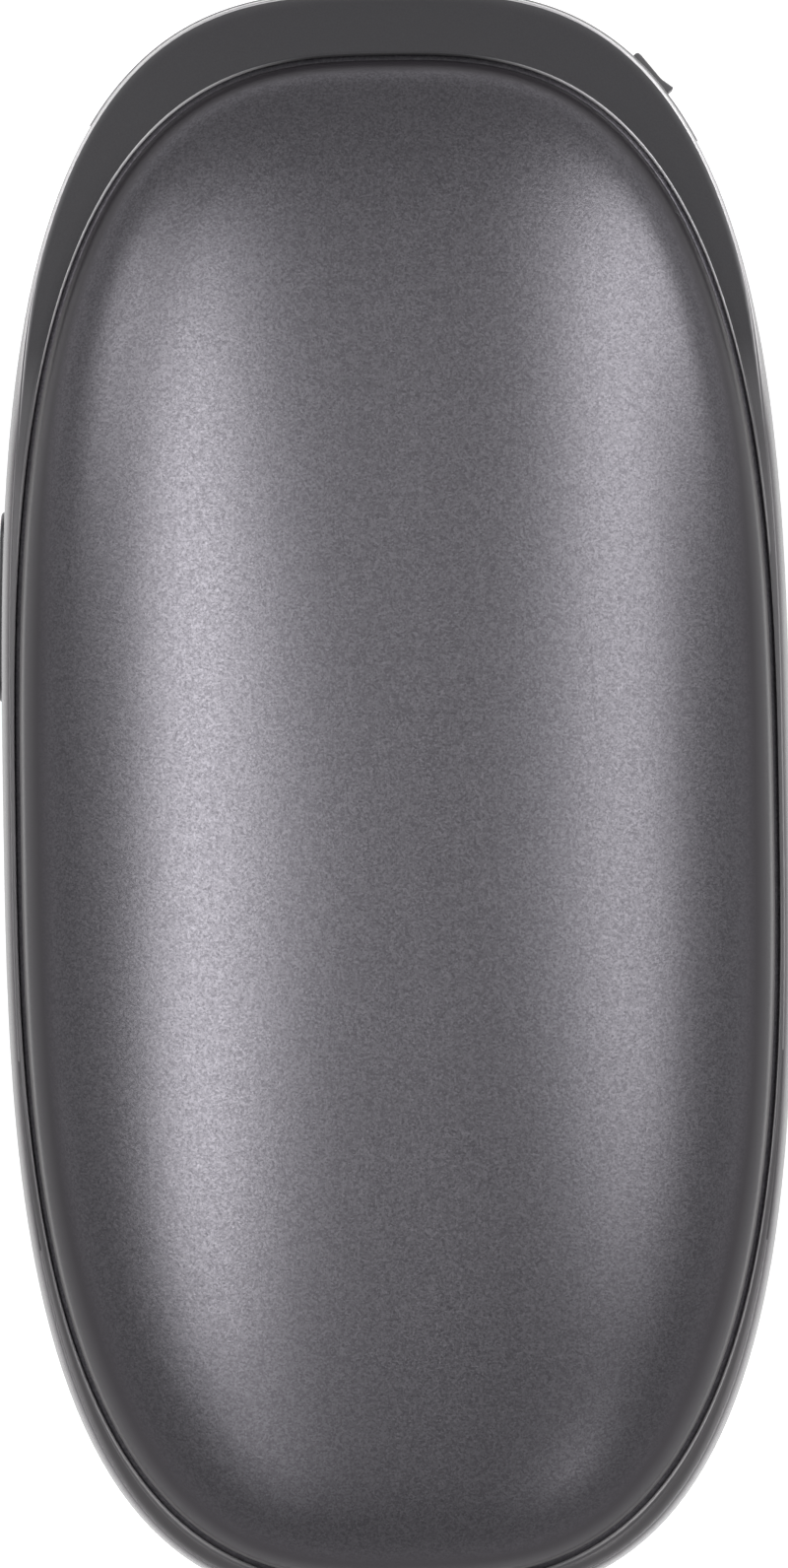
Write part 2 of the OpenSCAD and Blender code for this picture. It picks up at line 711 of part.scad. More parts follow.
capacitor_places = concat([for (shares = capacitor_shares) behind_socket(shares)],
    [on_board(filter_shares)]);
module filter_capacitors() {
    color("#b08a5a")
        for (place = capacitor_places)
            block(capacitor_size, concat(place, middle_z + board_top + capacitor_size.z / 2));
}

// Indicator lights: four on the board's underside, and a light pipe to the front crescent
light_count = 4;
light_pitch = 2.6;
light_size = [1.6, 0.8, 0.35];
light_pin_d = 1.1;
light_bar_gap = 0.1;
light_y = body_length / 2 - (wall_inset[1] + crescent_width) / 2;
light_bar_size = [light_count * light_pitch, 1.3, 0.9];
light_bar_top = board_bottom - light_size.z - light_bar_gap;
light_end_z = -edge_z + crescent_slope * (light_y - (body_length / 2 - crescent_width)) + light_bar_gap;
light_places = [for (i = [0 : light_count - 1])
    usb_c_place + (i - (light_count - 1) / 2) * light_pitch];
module light_pins(gap, reach) {
    for (x = light_places)
        translate([x, light_y, middle_z + light_end_z - reach])
            cylinder(d = light_pin_d + 2 * gap, h = light_bar_top - light_end_z + reach, $fn = round_fn);
}
module light_bar(gap) {
    block([light_bar_size.x + 2 * gap, light_bar_size.y + 2 * gap, light_bar_size.z + 2 * gap],
        [usb_c_place, light_y, middle_z + light_bar_top - light_bar_size.z / 2 + gap]);
}
module light_room() {
    block([light_bar_size.x, light_bar_size.y, board_thickness + light_size.z],
        [usb_c_place, light_y, middle_z + board_bottom]);
}
module indicator_leds() {
    color("#f2efe2")
        for (x = light_places)
            block(light_size, [x, light_y, middle_z + board_bottom - light_size.z / 2]);
}
module light_pipe() {
    color("#e9edf0") {
        light_bar(0);
        light_pins(0, 0);
    }
}

// Cells, side by side, and the cradle that carries them
cap_d = cell_d * 0.45;
cap_height = 0.4;
sleeve_rim = 1;
module cell() {
    rotate([90, 0, 0]) union() {
        translate([0, 0, cap_height]) cylinder(d = cell_d, h = cell_length - cap_height, $fn = round_fn);
        cylinder(d = cap_d, h = 2 * cap_height, $fn = round_fn);
    }
}
module cell_left() { color("#3f7fb5") translate([-cell_x, cell_end_y, middle_z]) cell(); }
module cell_right() { color("#3f7fb5") translate([cell_x, cell_end_y, middle_z]) cell(); }

strip_thickness = 0.2;
strip_width = 7;
tab_width = 4;
wire_d = 1.4;
wire_z = cell_d / 2 - wire_d * 2.1;
tab_x = 5;
module strip() {
    rotate([90, 0, 0]) linear_extrude(strip_thickness) union() {
        square([2 * cell_x, strip_width], center = true);
        for (side = [-1, 1])
            translate([side * cell_x, 0]) circle(d = strip_width, $fn = round_fn);
    }
}
module strip_tab(x) {
    translate([x - tab_width / 2, -strip_thickness, 0])
        cube([tab_width, strip_thickness, wire_z + wire_d / 2]);
}
module nickel_strips() {
    color("#d3d6d8") {
        translate([0, cell_end_y + strip_thickness, middle_z]) { strip(); strip_tab(tab_x); }
        translate([0, cell_end_y - cell_length, middle_z]) { strip(); strip_tab(0); }
    }
}

holder_wall = 1.2;
holder_share = 0.33;
holder_low = holder_share * cell_d;
web_high = strip_width / 2 + fixed_gap;
ear_thickness = 1.5;
ear_top = -0.9;
ear_width = 5;
ear_back = 28;
ear_ahead = 15.2;
ear_places = [cell_end_y - cell_length + ear_ahead, cell_end_y - ear_back];
holder_screw_d = 2;
wall_share = 0.28;
wall_high = wall_share * cell_d;
ear_room = 1.9;
ear_reach = side_room - holder_rail - band_wall - ear_room;
holder_screw_x = holder_half + ear_reach * 0.43;
rail_gap = 6.2;
module cell_beds() {
    for (side = [-1, 1])
        translate([side * cell_x, 0]) circle(d = cell_d + 2 * running_gap, $fn = round_fn);
}
module holder_web() {
    difference() {
        translate([-cell_x, -holder_low]) square([2 * cell_x, holder_low - web_high]);
        cell_beds();
    }
}
module holder_rails() {
    difference() {
        for (side = [-1, 1])
            translate([side * (holder_half - cell_d / 4) - cell_d / 4, -holder_low])
                square([cell_d / 2, holder_low + ear_top]);
        cell_beds();
    }
}
module along_cells(from_y, to_y) {
    translate([0, to_y, 0]) rotate([90, 0, 0]) linear_extrude(to_y - from_y) children();
}
module holder_end(y) {
    wall_half = cell_x + cell_d * 0.4;
    wall_low = holder_low - holder_wall / 4;
    translate([-wall_half, y, -wall_low]) cube([2 * wall_half, holder_wall, wall_low + wall_high]);
}
module cell_holder() {
    strip_gap = strip_thickness + running_gap;
    low_y = cell_end_y - cell_length - strip_gap;
    high_y = cell_end_y + strip_gap;
    color("#2b2d31") in_middle() difference() {
        union() {
            along_cells(low_y - holder_wall / 2, high_y + holder_wall / 2) holder_web();
            along_cells(low_y + rail_gap, high_y + holder_wall / 2) holder_rails();
            holder_end(high_y);
            holder_end(low_y - holder_wall);
            for (side = [-1, 1], y = ear_places)
                translate([side * (holder_half + ear_reach / 2 - holder_rail / 2), y, ear_top - ear_thickness / 2])
                    cube([ear_reach + holder_rail, ear_width, ear_thickness], center = true);
        }
        for (side = [-1, 1], y = ear_places)
            translate([side * holder_screw_x, y, ear_top - ear_thickness - overrun])
                cylinder(d = holder_screw_d + 2 * running_gap, h = ear_thickness + 2 * overrun,
                    $fn = round_fn);
    }
}
module holder_screws() {
    color("#c9ccd0") in_middle()
        for (side = [-1, 1], y = ear_places)
            translate([side * holder_screw_x, y, ear_top])
                screw(holder_screw_d, ear_top - lug_low - running_gap);
}

// Lugs on the band's inner wall: four under the cradle's ears, two under the main board
module lug(inner_x, y, top) {
    outer_x = outline_x(abs(y) + lug_width / 2) - band_wall / 2;
    translate([inner_x, y - lug_width / 2, lug_low])
        cube([outer_x - inner_x, lug_width, top - lug_low]);
}
module lugs() {
    both_sides() {
        for (y = ear_places)
            lug(holder_half + running_gap, y, ear_top - ear_thickness);
        lug(board_screw_place.x - lug_width / 2, board_screw_place.y, board_bottom);
    }
}
module lug_holes() {
    hole_d = holder_screw_d + running_gap;
    both_sides() {
        for (y = ear_places)
            translate([holder_screw_x, y, lug_low - overrun])
                cylinder(d = hole_d, h = middle_z, $fn = round_fn);
        translate(concat(board_screw_place, lug_low - overrun))
            cylinder(d = hole_d, h = middle_z, $fn = round_fn);
    }
}

module mid_frame() {
    color("#55555a") difference() {
        union() {
            in_middle() skin(concat([raised(body_ring, 0)], rear_half, front_half), ring = true);
            in_middle() lugs();
            both_sides() notch_boss();
            button_rails();
        }
        in_middle() band_slot(plate_angles, plate_wall, notch_height);
        both_sides() {
            in_middle() notch_slot();
            lanyard_pin(running_gap / 2);
        }
        socket_cuts(fixed_gap, wall_reach);
        switch_slot();
        button_cuts();
        light_bar(running_gap);
        light_room();
        light_pins(running_gap / 2, overrun);
        in_middle() lug_holes();
    }
}

module port_plate() {
    half = plate_depth / 2;
    color("#4b4b50") difference() {
        in_middle() skin([
            for (angle = plate_angles)
                let (p = outline_point(angle), n = outline_normal(p))
                let (inner = p - plate_wall * n, edge = p - plate_bevel * n)
                [[inner.x, inner.y, -half], [inner.x, inner.y, half], [edge.x, edge.y, half],
                    [p.x, p.y, half - plate_bevel], [p.x, p.y, plate_bevel - half],
                    [edge.x, edge.y, -half]]]);
        socket_cuts(window_lip - socket_wall, wall_reach);
        switch_slot();
    }
}

module lanyard_pin(gap) {
    length = notch_height + 2 * pin_seat + gap;
    on_outline([0, 0, 0], outline_power, end_angle($end) - notch_angle / 2)
        translate([-pin_place, 0, -length / 2])
            cylinder(d = lanyard_pin_d + gap, h = length, $fn = round_fn);
}
module lanyard_pins() { color("#b7babf") both_sides() lanyard_pin(0); }

// Heating films under the shells, foam pads between them and the cells
film_gap = 0.25;
film_thickness = 0.2;
foam_thickness = 1.1;
film_top = dome_height - shell_wall - film_gap;
foam_top = film_top - film_thickness - soft_gap;
module layer(top, thickness, shares) {
    skin(concat(reversed(dome(lining_inset, top - thickness, shares, film_steps)),
        dome(lining_inset, top, shares, film_steps)));
}
module rear_heater() { color("#c98a3a") in_middle() layer(film_top, film_thickness, film_shares); }
module front_heater() { color("#c98a3a") in_front() layer(film_top, film_thickness, film_shares); }
module rear_foam() { color("#8d9096") in_middle() layer(foam_top, foam_thickness, foam_shares); }
module front_foam() { color("#8d9096") in_front() layer(foam_top, foam_thickness, foam_shares); }

// Places under a film by share of its outline, along the centre line
function film_y(share) =
    (lining_inset[2] - lining_inset[1]) / 2
        + share * (body_length - lining_inset[1] - lining_inset[2]) / 2;
function film_z(share) =
    dome_base_z + (film_top - film_thickness) * crown_height(share) / crown_height(min(dome_shares));
thermistor_share = 0.655;
thermistor_size = [2.6, 1.6, 0.8];
module thermistor() {
    block(thermistor_size, [0, film_y(thermistor_share),
        film_z(thermistor_share) - thermistor_size.z / 2 - fixed_gap]);
}
module thermistors() {
    color("#20242c") {
        in_middle() thermistor();
        in_front() thermistor();
    }
}

// Wires: from the cells' tabs, the films and the button's board to the main board
lead_d = 1;
heater_share = 0.67;
heater_x = 9;
lead_end_y = board_rear_y + 1.6 * wire_d;
module cell_lead_negative() {
    start_y = cell_end_y - cell_length;
    color("#26262a") in_middle() tube([
        [0, start_y, wire_z], [0, start_y + 3 * wire_d, wire_z],
        [0, cell_end_y + 1.5 * wire_d, wire_z], [0, cell_end_y + 3 * wire_d, wire_z * 0.85],
        [0, lead_end_y - wire_d, wire_z / 2], [0, lead_end_y - wire_d / 8, wire_z / 5],
        [0, lead_end_y, board_top + wire_d / 2], [0, lead_end_y, board_top]], wire_d);
}
module cell_lead_positive() {
    start_y = cell_end_y + strip_thickness;
    color("#a8282c") in_middle() tube([
        [tab_x, start_y, wire_z], [tab_x, start_y + 1.4 * wire_d, wire_z],
        [tab_x, start_y + 2.8 * wire_d, wire_z * 0.85],
        [tab_x, lead_end_y - wire_d, wire_z / 2], [tab_x, lead_end_y - wire_d / 8, wire_z / 5],
        [tab_x, lead_end_y, board_top + wire_d / 2], [tab_x, lead_end_y, board_top]], wire_d);
}
module heater_lead(board_face) {
    y = film_y(heater_share);
    top = film_z(heater_share) - soft_gap;
    end_y = board_rear_y + 2 * lead_d;
    tube([
        [heater_x, y, top], [heater_x, y, top - 2 * lead_d],
        [heater_x, (y + end_y) / 2, top / 2], [heater_x, end_y, board_face + 2 * lead_d],
        [heater_x, end_y, board_face]], lead_d);
}
module heater_lead_rear() { color("#d8d2c4") in_middle() heater_lead(board_top); }
module heater_lead_front() { color("#d8d2c4") in_front() heater_lead(-board_bottom); }
button_lead_d = 0.9;
button_lead_shares = [-0.704, 0.0875];
module button_lead() {
    d = button_lead_d;
    start = [button_board_x + button_board_thickness / 2,
        button_place + button_board_length * 0.4, button_height / 2 + flange_lip];
    side_x = -cell_x - cell_d / 2 - soft_gap - d;
    end = on_board(button_lead_shares);
    color("#d8d2c4") in_middle() tube([
        start, start + [0, 0, d], start + [0, 3.3 * d, d / 4], start + [d / 3, 6 * d, -2.5 * d],
        [side_x, cell_end_y + 1.6 * d, 0], [end.x - 2.4 * d, end.y - 1.8 * d, 0],
        [end.x - d / 2, end.y - d / 9, -d / 5], [end.x, end.y, board_top + d / 2],
        [end.x, end.y, board_top]], d);
}

rear_shell();
front_shell();
mid_frame();
port_plate();
lanyard_pins();
switch_knob();
switch_lever();
switch_body();
power_button();
button_dome();
button_switch();
button_board();
main_board();
board_screws();
usb_a_shell();
usb_a_tongue();
usb_c_shell();
usb_c_tongue();
power_inductor();
control_chips();
filter_capacitors();
indicator_leds();
light_pipe();
cell_left();
cell_right();
cell_holder();
holder_screws();
nickel_strips();
rear_heater();
front_heater();
rear_foam();
front_foam();
thermistors();
cell_lead_positive();
cell_lead_negative();
button_lead();
heater_lead_rear();
heater_lead_front();
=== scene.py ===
# %% [markdown]
# # A rechargeable hand warmer, dressed for a studio photograph
#
# The object is a pebble-shaped pocket hand warmer that doubles as a power bank. Two domed shells
# are warmed from inside. They sit in a moulded band, which carries a port plate with two sockets
# at its top end, a slide switch on one shoulder and a long power button on one side. It lies on
# its front shell and is seen from straight above, so the rear shell fills the picture.
#
# A imported model gives every place and size, and this lesson gives the surfaces. The first cell
# loads that model, with a function that reads the box of any of its parts.

# %% Load the imported model
import math
import bmesh
import bpy
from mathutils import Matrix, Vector


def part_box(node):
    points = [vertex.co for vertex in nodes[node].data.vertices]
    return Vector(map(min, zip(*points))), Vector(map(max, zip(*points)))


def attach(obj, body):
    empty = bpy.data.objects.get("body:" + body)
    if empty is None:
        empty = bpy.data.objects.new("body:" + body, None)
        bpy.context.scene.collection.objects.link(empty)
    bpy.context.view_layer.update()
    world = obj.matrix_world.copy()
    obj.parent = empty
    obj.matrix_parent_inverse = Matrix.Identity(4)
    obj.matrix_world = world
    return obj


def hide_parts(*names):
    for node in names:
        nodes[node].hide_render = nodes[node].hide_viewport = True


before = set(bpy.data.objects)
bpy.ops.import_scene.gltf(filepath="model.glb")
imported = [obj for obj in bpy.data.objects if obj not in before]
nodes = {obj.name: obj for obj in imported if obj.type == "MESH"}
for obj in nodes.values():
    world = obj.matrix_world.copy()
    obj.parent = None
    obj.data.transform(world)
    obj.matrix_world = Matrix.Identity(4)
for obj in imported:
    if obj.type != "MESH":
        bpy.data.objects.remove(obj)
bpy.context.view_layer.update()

# %% [markdown]
# ## Working sizes
#
# Blender works in metres here, and a hand warmer is a thing of millimetres, so one constant turns
# millimetres into metres. The size of the body is read from the loaded model. What the model's
# boxes don't say, such as how square an outline is, is written down once as a number.
#
# The outlines of the body and of the shells are superellipses. A power of 2 would give an ellipse
# and a high power a rectangle, and the pebble lies close to 3.

# %% Sizes of the body
MM = 0.001
band_low, band_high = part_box("mid_frame")
HALF_WIDTH = band_high.x
HALF_LENGTH = round(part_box("port_plate")[1].y, 6)
MIDDLE_Z = (band_low.z + band_high.z) / 2
EDGE_Z = (band_high.z - band_low.z) / 2
# How square the two outlines, the shell's section and the band's side are
BAND_POWER = 3.05
SHELL_POWER = 2.85
CROWN_POWER = 2.3
SWELL_POWER = 2.2
# The facet on the band: its width at the sides, at the heel and at the port end, and its slope
RIM_WIDTH = 1.05 * MM
HEEL_WIDTH = 1.7 * MM
CRESCENT_WIDTH = 4.9 * MM
CRESCENT_SLOPE = 0.12
# How far the side swells past the facet, how far the facet rolls down at the heel, and the
# places along the body between which each of them changes
SIDE_SWELL = 0.8 * MM
PORT_SWELL = 0.33 * MM
SWELL_CHANGE = (26 * MM, 40 * MM)
HEEL_ROLL = 0.42 * MM
HEEL_CHANGE = (-18 * MM, -44 * MM)
# Walls, the groove round each shell with its flange, and the ledge that each shell stands on
BAND_WALL = 1.7 * MM
PLATE_WALL = 1.4 * MM
SHELL_WALL = 1.2 * MM
GROOVE_WIDTH = 0.36 * MM
GROOVE_STEP = 0.3 * MM
FLANGE_WIDTH = 0.34 * MM
FLANGE_DROP = 0.25 * MM
SEAT_DEPTH = 1.6 * MM
LEDGE_WIDTH = 1.9 * MM
LEDGE_THICKNESS = 1.2 * MM
print("half width, half length, middle height in mm:",
      [round(1000 * v, 2) for v in (HALF_WIDTH, HALF_LENGTH, MIDDLE_Z)])

# %% [markdown]
# ## Outlines
#
# Every large piece of the warmer is a stack of rings. A ring is an outline pulled in from the
# body's outline by one distance at the sides, one at the port end and one at the bottom end. The
# crescent at the port end exists only because the shells' ring is pulled in further there.

# %% Outline functions
def superellipse(half_width, half_length, power, angle):
    c, s = math.cos(angle), math.sin(angle)
    k = (abs(c) ** power + abs(s) ** power) ** (-1 / power)
    return half_width * c * k, half_length * s * k


def outline(side, port, bottom, power, steps, share=1.0):
    half_width = share * (HALF_WIDTH - side)
    half_length = share * (HALF_LENGTH - (port + bottom) / 2)
    shift = (bottom - port) / 2
    ring = []
    for i in range(steps):
        x, y = superellipse(half_width, half_length, power, math.tau * i / steps)
        ring.append((x, y + shift))
    return ring


def body_point(angle):
    return Vector(superellipse(HALF_WIDTH, HALF_LENGTH, BAND_POWER, angle))


def body_normal(p):
    nx = math.copysign((abs(p[0]) / HALF_WIDTH) ** (BAND_POWER - 1) / HALF_WIDTH, p[0])
    ny = math.copysign((abs(p[1]) / HALF_LENGTH) ** (BAND_POWER - 1) / HALF_LENGTH, p[1])
    return Vector((nx, ny)).normalized()


def body_y(x):
    return HALF_LENGTH * (1 - (abs(x) / HALF_WIDTH) ** BAND_POWER) ** (1 / BAND_POWER)


def body_x(y):
    return HALF_WIDTH * (1 - (abs(y) / HALF_LENGTH) ** BAND_POWER) ** (1 / BAND_POWER)


def body_angle(x):
    return math.atan2(body_y(x) / HALF_LENGTH, x / HALF_WIDTH)


RING_STEPS = 240
print("points on each ring:", RING_STEPS)

# %% [markdown]
# ## From rings to a mesh
#
# A lofted piece needs only one mesh function: it joins each ring to the next with four-sided
# faces, and either closes the stack on itself, as for a tube bent into a band, or caps both ends.
# Four-sided faces that follow the form shade smoothly, and long thin triangles don't. Edges
# sharper than a set angle are then marked, so that a step stays crisp on a smooth surface.
#
# A finished piece says which imported node it stands for, which is hidden, and which body it moves
# with. One more function says both.

# %% Mesh functions
def new_object(name, verts, faces):
    mesh = bpy.data.meshes.new(name)
    mesh.from_pydata([tuple(v) for v in verts], [], faces)
    obj = bpy.data.objects.new(name, mesh)
    bpy.context.scene.collection.objects.link(obj)
    bm = bmesh.new()
    bm.from_mesh(mesh)
    bmesh.ops.remove_doubles(bm, verts=bm.verts, dist=1e-7)
    bmesh.ops.recalc_face_normals(bm, faces=bm.faces)
    bm.to_mesh(mesh)
    bm.free()
    return obj


def loft(name, rings, closed=False, crown=None):
    count = len(rings[0])
    verts = [v for ring in rings for v in ring]
    last = len(rings) if closed else len(rings) - 1
    faces = []
    for j in range(last):
        a, b = j * count, ((j + 1) % len(rings)) * count
        faces += [(a + i, a + (i + 1) % count, b + (i + 1) % count, b + i) for i in range(count)]
    if not closed:
        faces.append(tuple(range(count)))
        if crown is None:
            faces.append(tuple(range((len(rings) - 1) * count, len(rings) * count)))
        else:
            verts.append(crown)
            top = (len(rings) - 1) * count
            faces += [(top + i, top + (i + 1) % count, len(verts) - 1) for i in range(count)]
    return new_object(name, verts, faces)


def shade(obj, degrees):
    for polygon in obj.data.polygons:
        polygon.use_smooth = True
    obj.data.set_sharp_from_angle(angle=math.radians(degrees))
    return obj


def apply_modifiers(obj):
    graph = bpy.context.evaluated_depsgraph_get()
    mesh = bpy.data.meshes.new_from_object(obj.evaluated_get(graph))
    obj.modifiers.clear()
    obj.data = mesh
    return obj


def cut(obj, cutters, operation="DIFFERENCE"):
    for cutter in cutters:
        modifier = obj.modifiers.new(cutter.name, "BOOLEAN")
        modifier.operation = operation
        modifier.solver = "EXACT"
        modifier.object = cutter
    apply_modifiers(obj)
    for cutter in cutters:
        bpy.data.objects.remove(cutter)
    return obj


def raised(points, z):
    return [(x, y, z) for x, y in points]


def place_piece(piece, node, body, degrees=30):
    shade(piece, degrees)
    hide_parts(node)
    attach(piece, body)
    return piece


print("mesh functions ready")

# %% [markdown]
# ## The heated shells
#
# A shell is a shallow dome of pressed aluminium or thin ABS. Its edge rolls down steeply into the
# groove round it, and its middle is almost flat. A quarter of a superellipse with a power of 2.3
# gives that section: upright at the edge, level at the crown. The rings are close together where
# the section turns, so that the rolled edge catches light as one clean line, helped by a painted
# highlight in the shell's paint.
#
# A sculpted or subdivided dome would be quicker to draw, but its outline would only come near the
# measured one. The wall has a real thickness, and a narrow flange closes most of the groove at a
# shallow depth, so that the groove reads as a soft dark line and not as a black slit.

# %% Shell form
DOME_BASE = EDGE_Z - GROOVE_STEP
DOME_HEIGHT = MIDDLE_Z - DOME_BASE
SEAT_Z = EDGE_Z - SEAT_DEPTH
SHELL_INSET = (RIM_WIDTH + GROOVE_WIDTH, CRESCENT_WIDTH + GROOVE_WIDTH, HEEL_WIDTH + GROOVE_WIDTH)
LINING_INSET = tuple(v + SHELL_WALL for v in SHELL_INSET)
FLANGE_INSET = tuple(v - FLANGE_WIDTH for v in SHELL_INSET)
FLANGE_Z = DOME_BASE - FLANGE_DROP
FLANGE_LOW = FLANGE_Z - SHELL_WALL / 3
FLANGE_FOOT = DOME_BASE - FLANGE_DROP / 3
# Where the rings lie, as a share of the way from the middle to the edge
LINING_SHARES = (0.15, 0.35, 0.55, 0.7, 0.82, 0.9, 0.95, 0.98, 0.995)
EDGE_SHARES = [1 - 0.0012 * k * k for k in range(1, 10)]
CROWN_SHARES = [1 - 0.5 * (1 - math.cos(math.pi * k / 60)) for k in range(1, 60)]
CROWN_SHARES = [share for share in CROWN_SHARES if 0.03 < share < 0.88]


def dome_height(share):
    return (1 - share ** CROWN_POWER) ** (1 / CROWN_POWER)


def shell_ring(inset, z, share=1.0):
    return raised(outline(*inset, SHELL_POWER, RING_STEPS, share), z)


def shell_rings():
    lining_height = DOME_HEIGHT - SHELL_WALL
    lining = [shell_ring(LINING_INSET, DOME_BASE + lining_height * dome_height(share), share)
              for share in LINING_SHARES]
    walls = [shell_ring(inset, z) for inset, z in (
        (LINING_INSET, DOME_BASE), (LINING_INSET, SEAT_Z), (SHELL_INSET, SEAT_Z),
        (SHELL_INSET, FLANGE_LOW), (FLANGE_INSET, FLANGE_LOW), (FLANGE_INSET, FLANGE_Z),
        (SHELL_INSET, FLANGE_FOOT), (SHELL_INSET, DOME_BASE))]
    dome = [shell_ring(SHELL_INSET, DOME_BASE + DOME_HEIGHT * dome_height(share), share)
            for share in EDGE_SHARES + CROWN_SHARES]
    return lining + walls + dome


def shell_piece(name, side):
    rings = [[(x, y, MIDDLE_Z + side * z) for x, y, z in ring] for ring in shell_rings()]
    shift = (SHELL_INSET[2] - SHELL_INSET[1]) / 2
    return loft(name, rings, crown=(0, shift, MIDDLE_Z + side * MIDDLE_Z))


rear_skin = shell_piece("rear_shell_painted", 1)
front_skin = shell_piece("front_shell_painted", -1)
place_piece(rear_skin, "rear_shell", "housing", 50)
place_piece(front_skin, "front_shell", "housing", 50)
print("shell faces:", len(rear_skin.data.polygons))

# %% [markdown]
# ## The moulded band
#
# The band is one injection moulding. From outside in it has a softly swelling side, a narrow facet
# that widens into the crescent at the port end, a shallow roll on the lip, and the upright wall
# that drops to the shell's seat. The rolls along both edges of the facet are only a tenth to a
# third of a millimetre wide, but they draw the thin lines that run round the shell in the
# photograph, because they lean just enough to mirror the lamps, and the band's finish paints
# highlights on them as well.
#
# Two things change along the body. The side swells less at the port end, where the plate takes
# its place, and at the heel the facet rolls down towards the side, which softens the edge there.
#
# The section is lofted round the body. Its points are found ring by ring, because the facet's
# width changes all the way round and no single swept profile would fit it.

# %% Band form
# The two rolls, as pairs of millimetres along the facet and millimetres down
EDGE_PROFILE = ((0, 0.04), (0.03, 0.02), (0.07, 0.006), (0.12, 0))
LIP_PROFILE = ((0.33, 0), (0.27, 0.007), (0.21, 0.022), (0.14, 0.048), (0.08, 0.083),
               (0.04, 0.118), (0.015, 0.153), (0, 0.2))
EDGE_WIDENING, LIP_WIDENING = 1.2, 1.0
SWELL_SHARES = (0.12, 0.25, 0.38, 0.5, 0.61, 0.71, 0.8, 0.88, 0.94, 0.97, 0.985, 0.995)
FACET_SHARES = (0.7, 0.55, 0.4)
LIP_INSET = (RIM_WIDTH, CRESCENT_WIDTH, HEEL_WIDTH)
LEDGE_INSET = tuple(v + LEDGE_WIDTH for v in LIP_INSET)
WALL_INSET = (BAND_WALL, PLATE_WALL + BAND_WALL, BAND_WALL)
body_ring = outline(0, 0, 0, BAND_POWER, RING_STEPS)
lip_ring = outline(*LIP_INSET, SHELL_POWER, RING_STEPS)
ledge_ring = outline(*LEDGE_INSET, SHELL_POWER, RING_STEPS)
wall_ring = outline(*WALL_INSET, BAND_POWER, RING_STEPS)


def eased(value, start, end):
    t = min(1.0, max(0.0, (value - start) / (end - start)))
    return t * t * (3 - 2 * t)


def facet_point(p):
    share = eased(p[1], *SWELL_CHANGE)
    n = body_normal(p)
    swell = SIDE_SWELL * (1 - share) + PORT_SWELL * share
    return p[0] - swell * n.x, p[1] - swell * n.y


facet_ring = [facet_point(p) for p in body_ring]


def facet_height(i, share):
    across = (Vector(facet_ring[i]) - Vector(lip_ring[i])).dot(body_normal(body_ring[i]))
    roll = HEEL_ROLL * eased(body_ring[i][1], *HEEL_CHANGE)
    return EDGE_Z - CRESCENT_SLOPE * max(0.0, across) * share - roll * share * share


def mixed(a, b, t):
    return a[0] * (1 - t) + b[0] * t, a[1] * (1 - t) + b[1] * t


def facet_rings(profile, widening, from_edge):
    rings = []
    for along, drop in profile:
        ring = []
        for i in range(RING_STEPS):
            width = (Vector(facet_ring[i]) - Vector(lip_ring[i])).length / MM
            scale = min(1.0, widening * width)
            share = scale * along / width
            share = 1 - share if from_edge else share
            x, y = mixed(lip_ring[i], facet_ring[i], share)
            ring.append((x, y, facet_height(i, share) - scale * drop * MM))
        rings.append(ring)
    return rings


def band_rings():
    rings = []
    for share in SWELL_SHARES:
        swell = (1 - share ** SWELL_POWER) ** (1 / SWELL_POWER)
        ring = []
        for i in range(RING_STEPS):
            x, y = mixed(body_ring[i], facet_ring[i], 1 - swell)
            ring.append((x, y, share * facet_height(i, 1)))
        rings.append(ring)
    rings += facet_rings(EDGE_PROFILE, EDGE_WIDENING, True)
    for share in FACET_SHARES:
        rings.append([(*mixed(lip_ring[i], facet_ring[i], share), facet_height(i, share))
                      for i in range(RING_STEPS)])
    rings += facet_rings(LIP_PROFILE, LIP_WIDENING, False)
    ledge_low = SEAT_Z - LEDGE_THICKNESS
    return rings + [raised(lip_ring, SEAT_Z), raised(ledge_ring, SEAT_Z),
                    raised(ledge_ring, ledge_low), raised(wall_ring, ledge_low)]


upper = band_rings()
lower = [[(x, y, -z) for x, y, z in ring] for ring in reversed(upper)]
rings = [raised(body_ring, 0)] + upper + lower
band = loft("band_moulded", [[(x, y, MIDDLE_Z + z) for x, y, z in r] for r in rings], closed=True)
print("band rings:", len(rings), "faces:", len(band.data.polygons))

# %% [markdown]
# ## Openings in the band and the plate
#
# The port plate is a separate strip that fills a shallow recess across the port end, and both it
# and the band have windows for the two sockets and a slot for the switch. In a real moulding,
# every such opening has a small lead-in chamfer, so each cutter is a loft that flares as it
# leaves the surface. The surface is curved, so the flare is measured from the body's outline at
# each point of the opening's edge and not from one flat plane.

# %% Cutters for the sockets
USB_A_X, USB_A_SIZE = -8 * MM, (13.1 * MM, 5.7 * MM)
USB_C_X, USB_C_SIZE = 4.6 * MM, (8.94 * MM, 3.16 * MM)
SOCKET_BACK = 45 * MM
# How much wider each window in the band is than its socket, and how much narrower in the plate
BAND_ROOM = 0.3 * MM
PLATE_ROOM = -0.4 * MM


def rounded_window(width, height, corner, gap, steps=8):
    corner = min(corner + gap, (height + 2 * gap) / 2 - 1e-6)
    half_x, half_z = width / 2 + gap - corner, height / 2 + gap - corner
    points = []
    for quarter, (sx, sz) in enumerate(((1, 1), (-1, 1), (-1, -1), (1, -1))):
        for k in range(steps + 1):
            turn = math.pi / 2 * (quarter + k / steps)
            points.append((sx * half_x + corner * math.cos(turn),
                           sz * half_z + corner * math.sin(turn)))
    return points


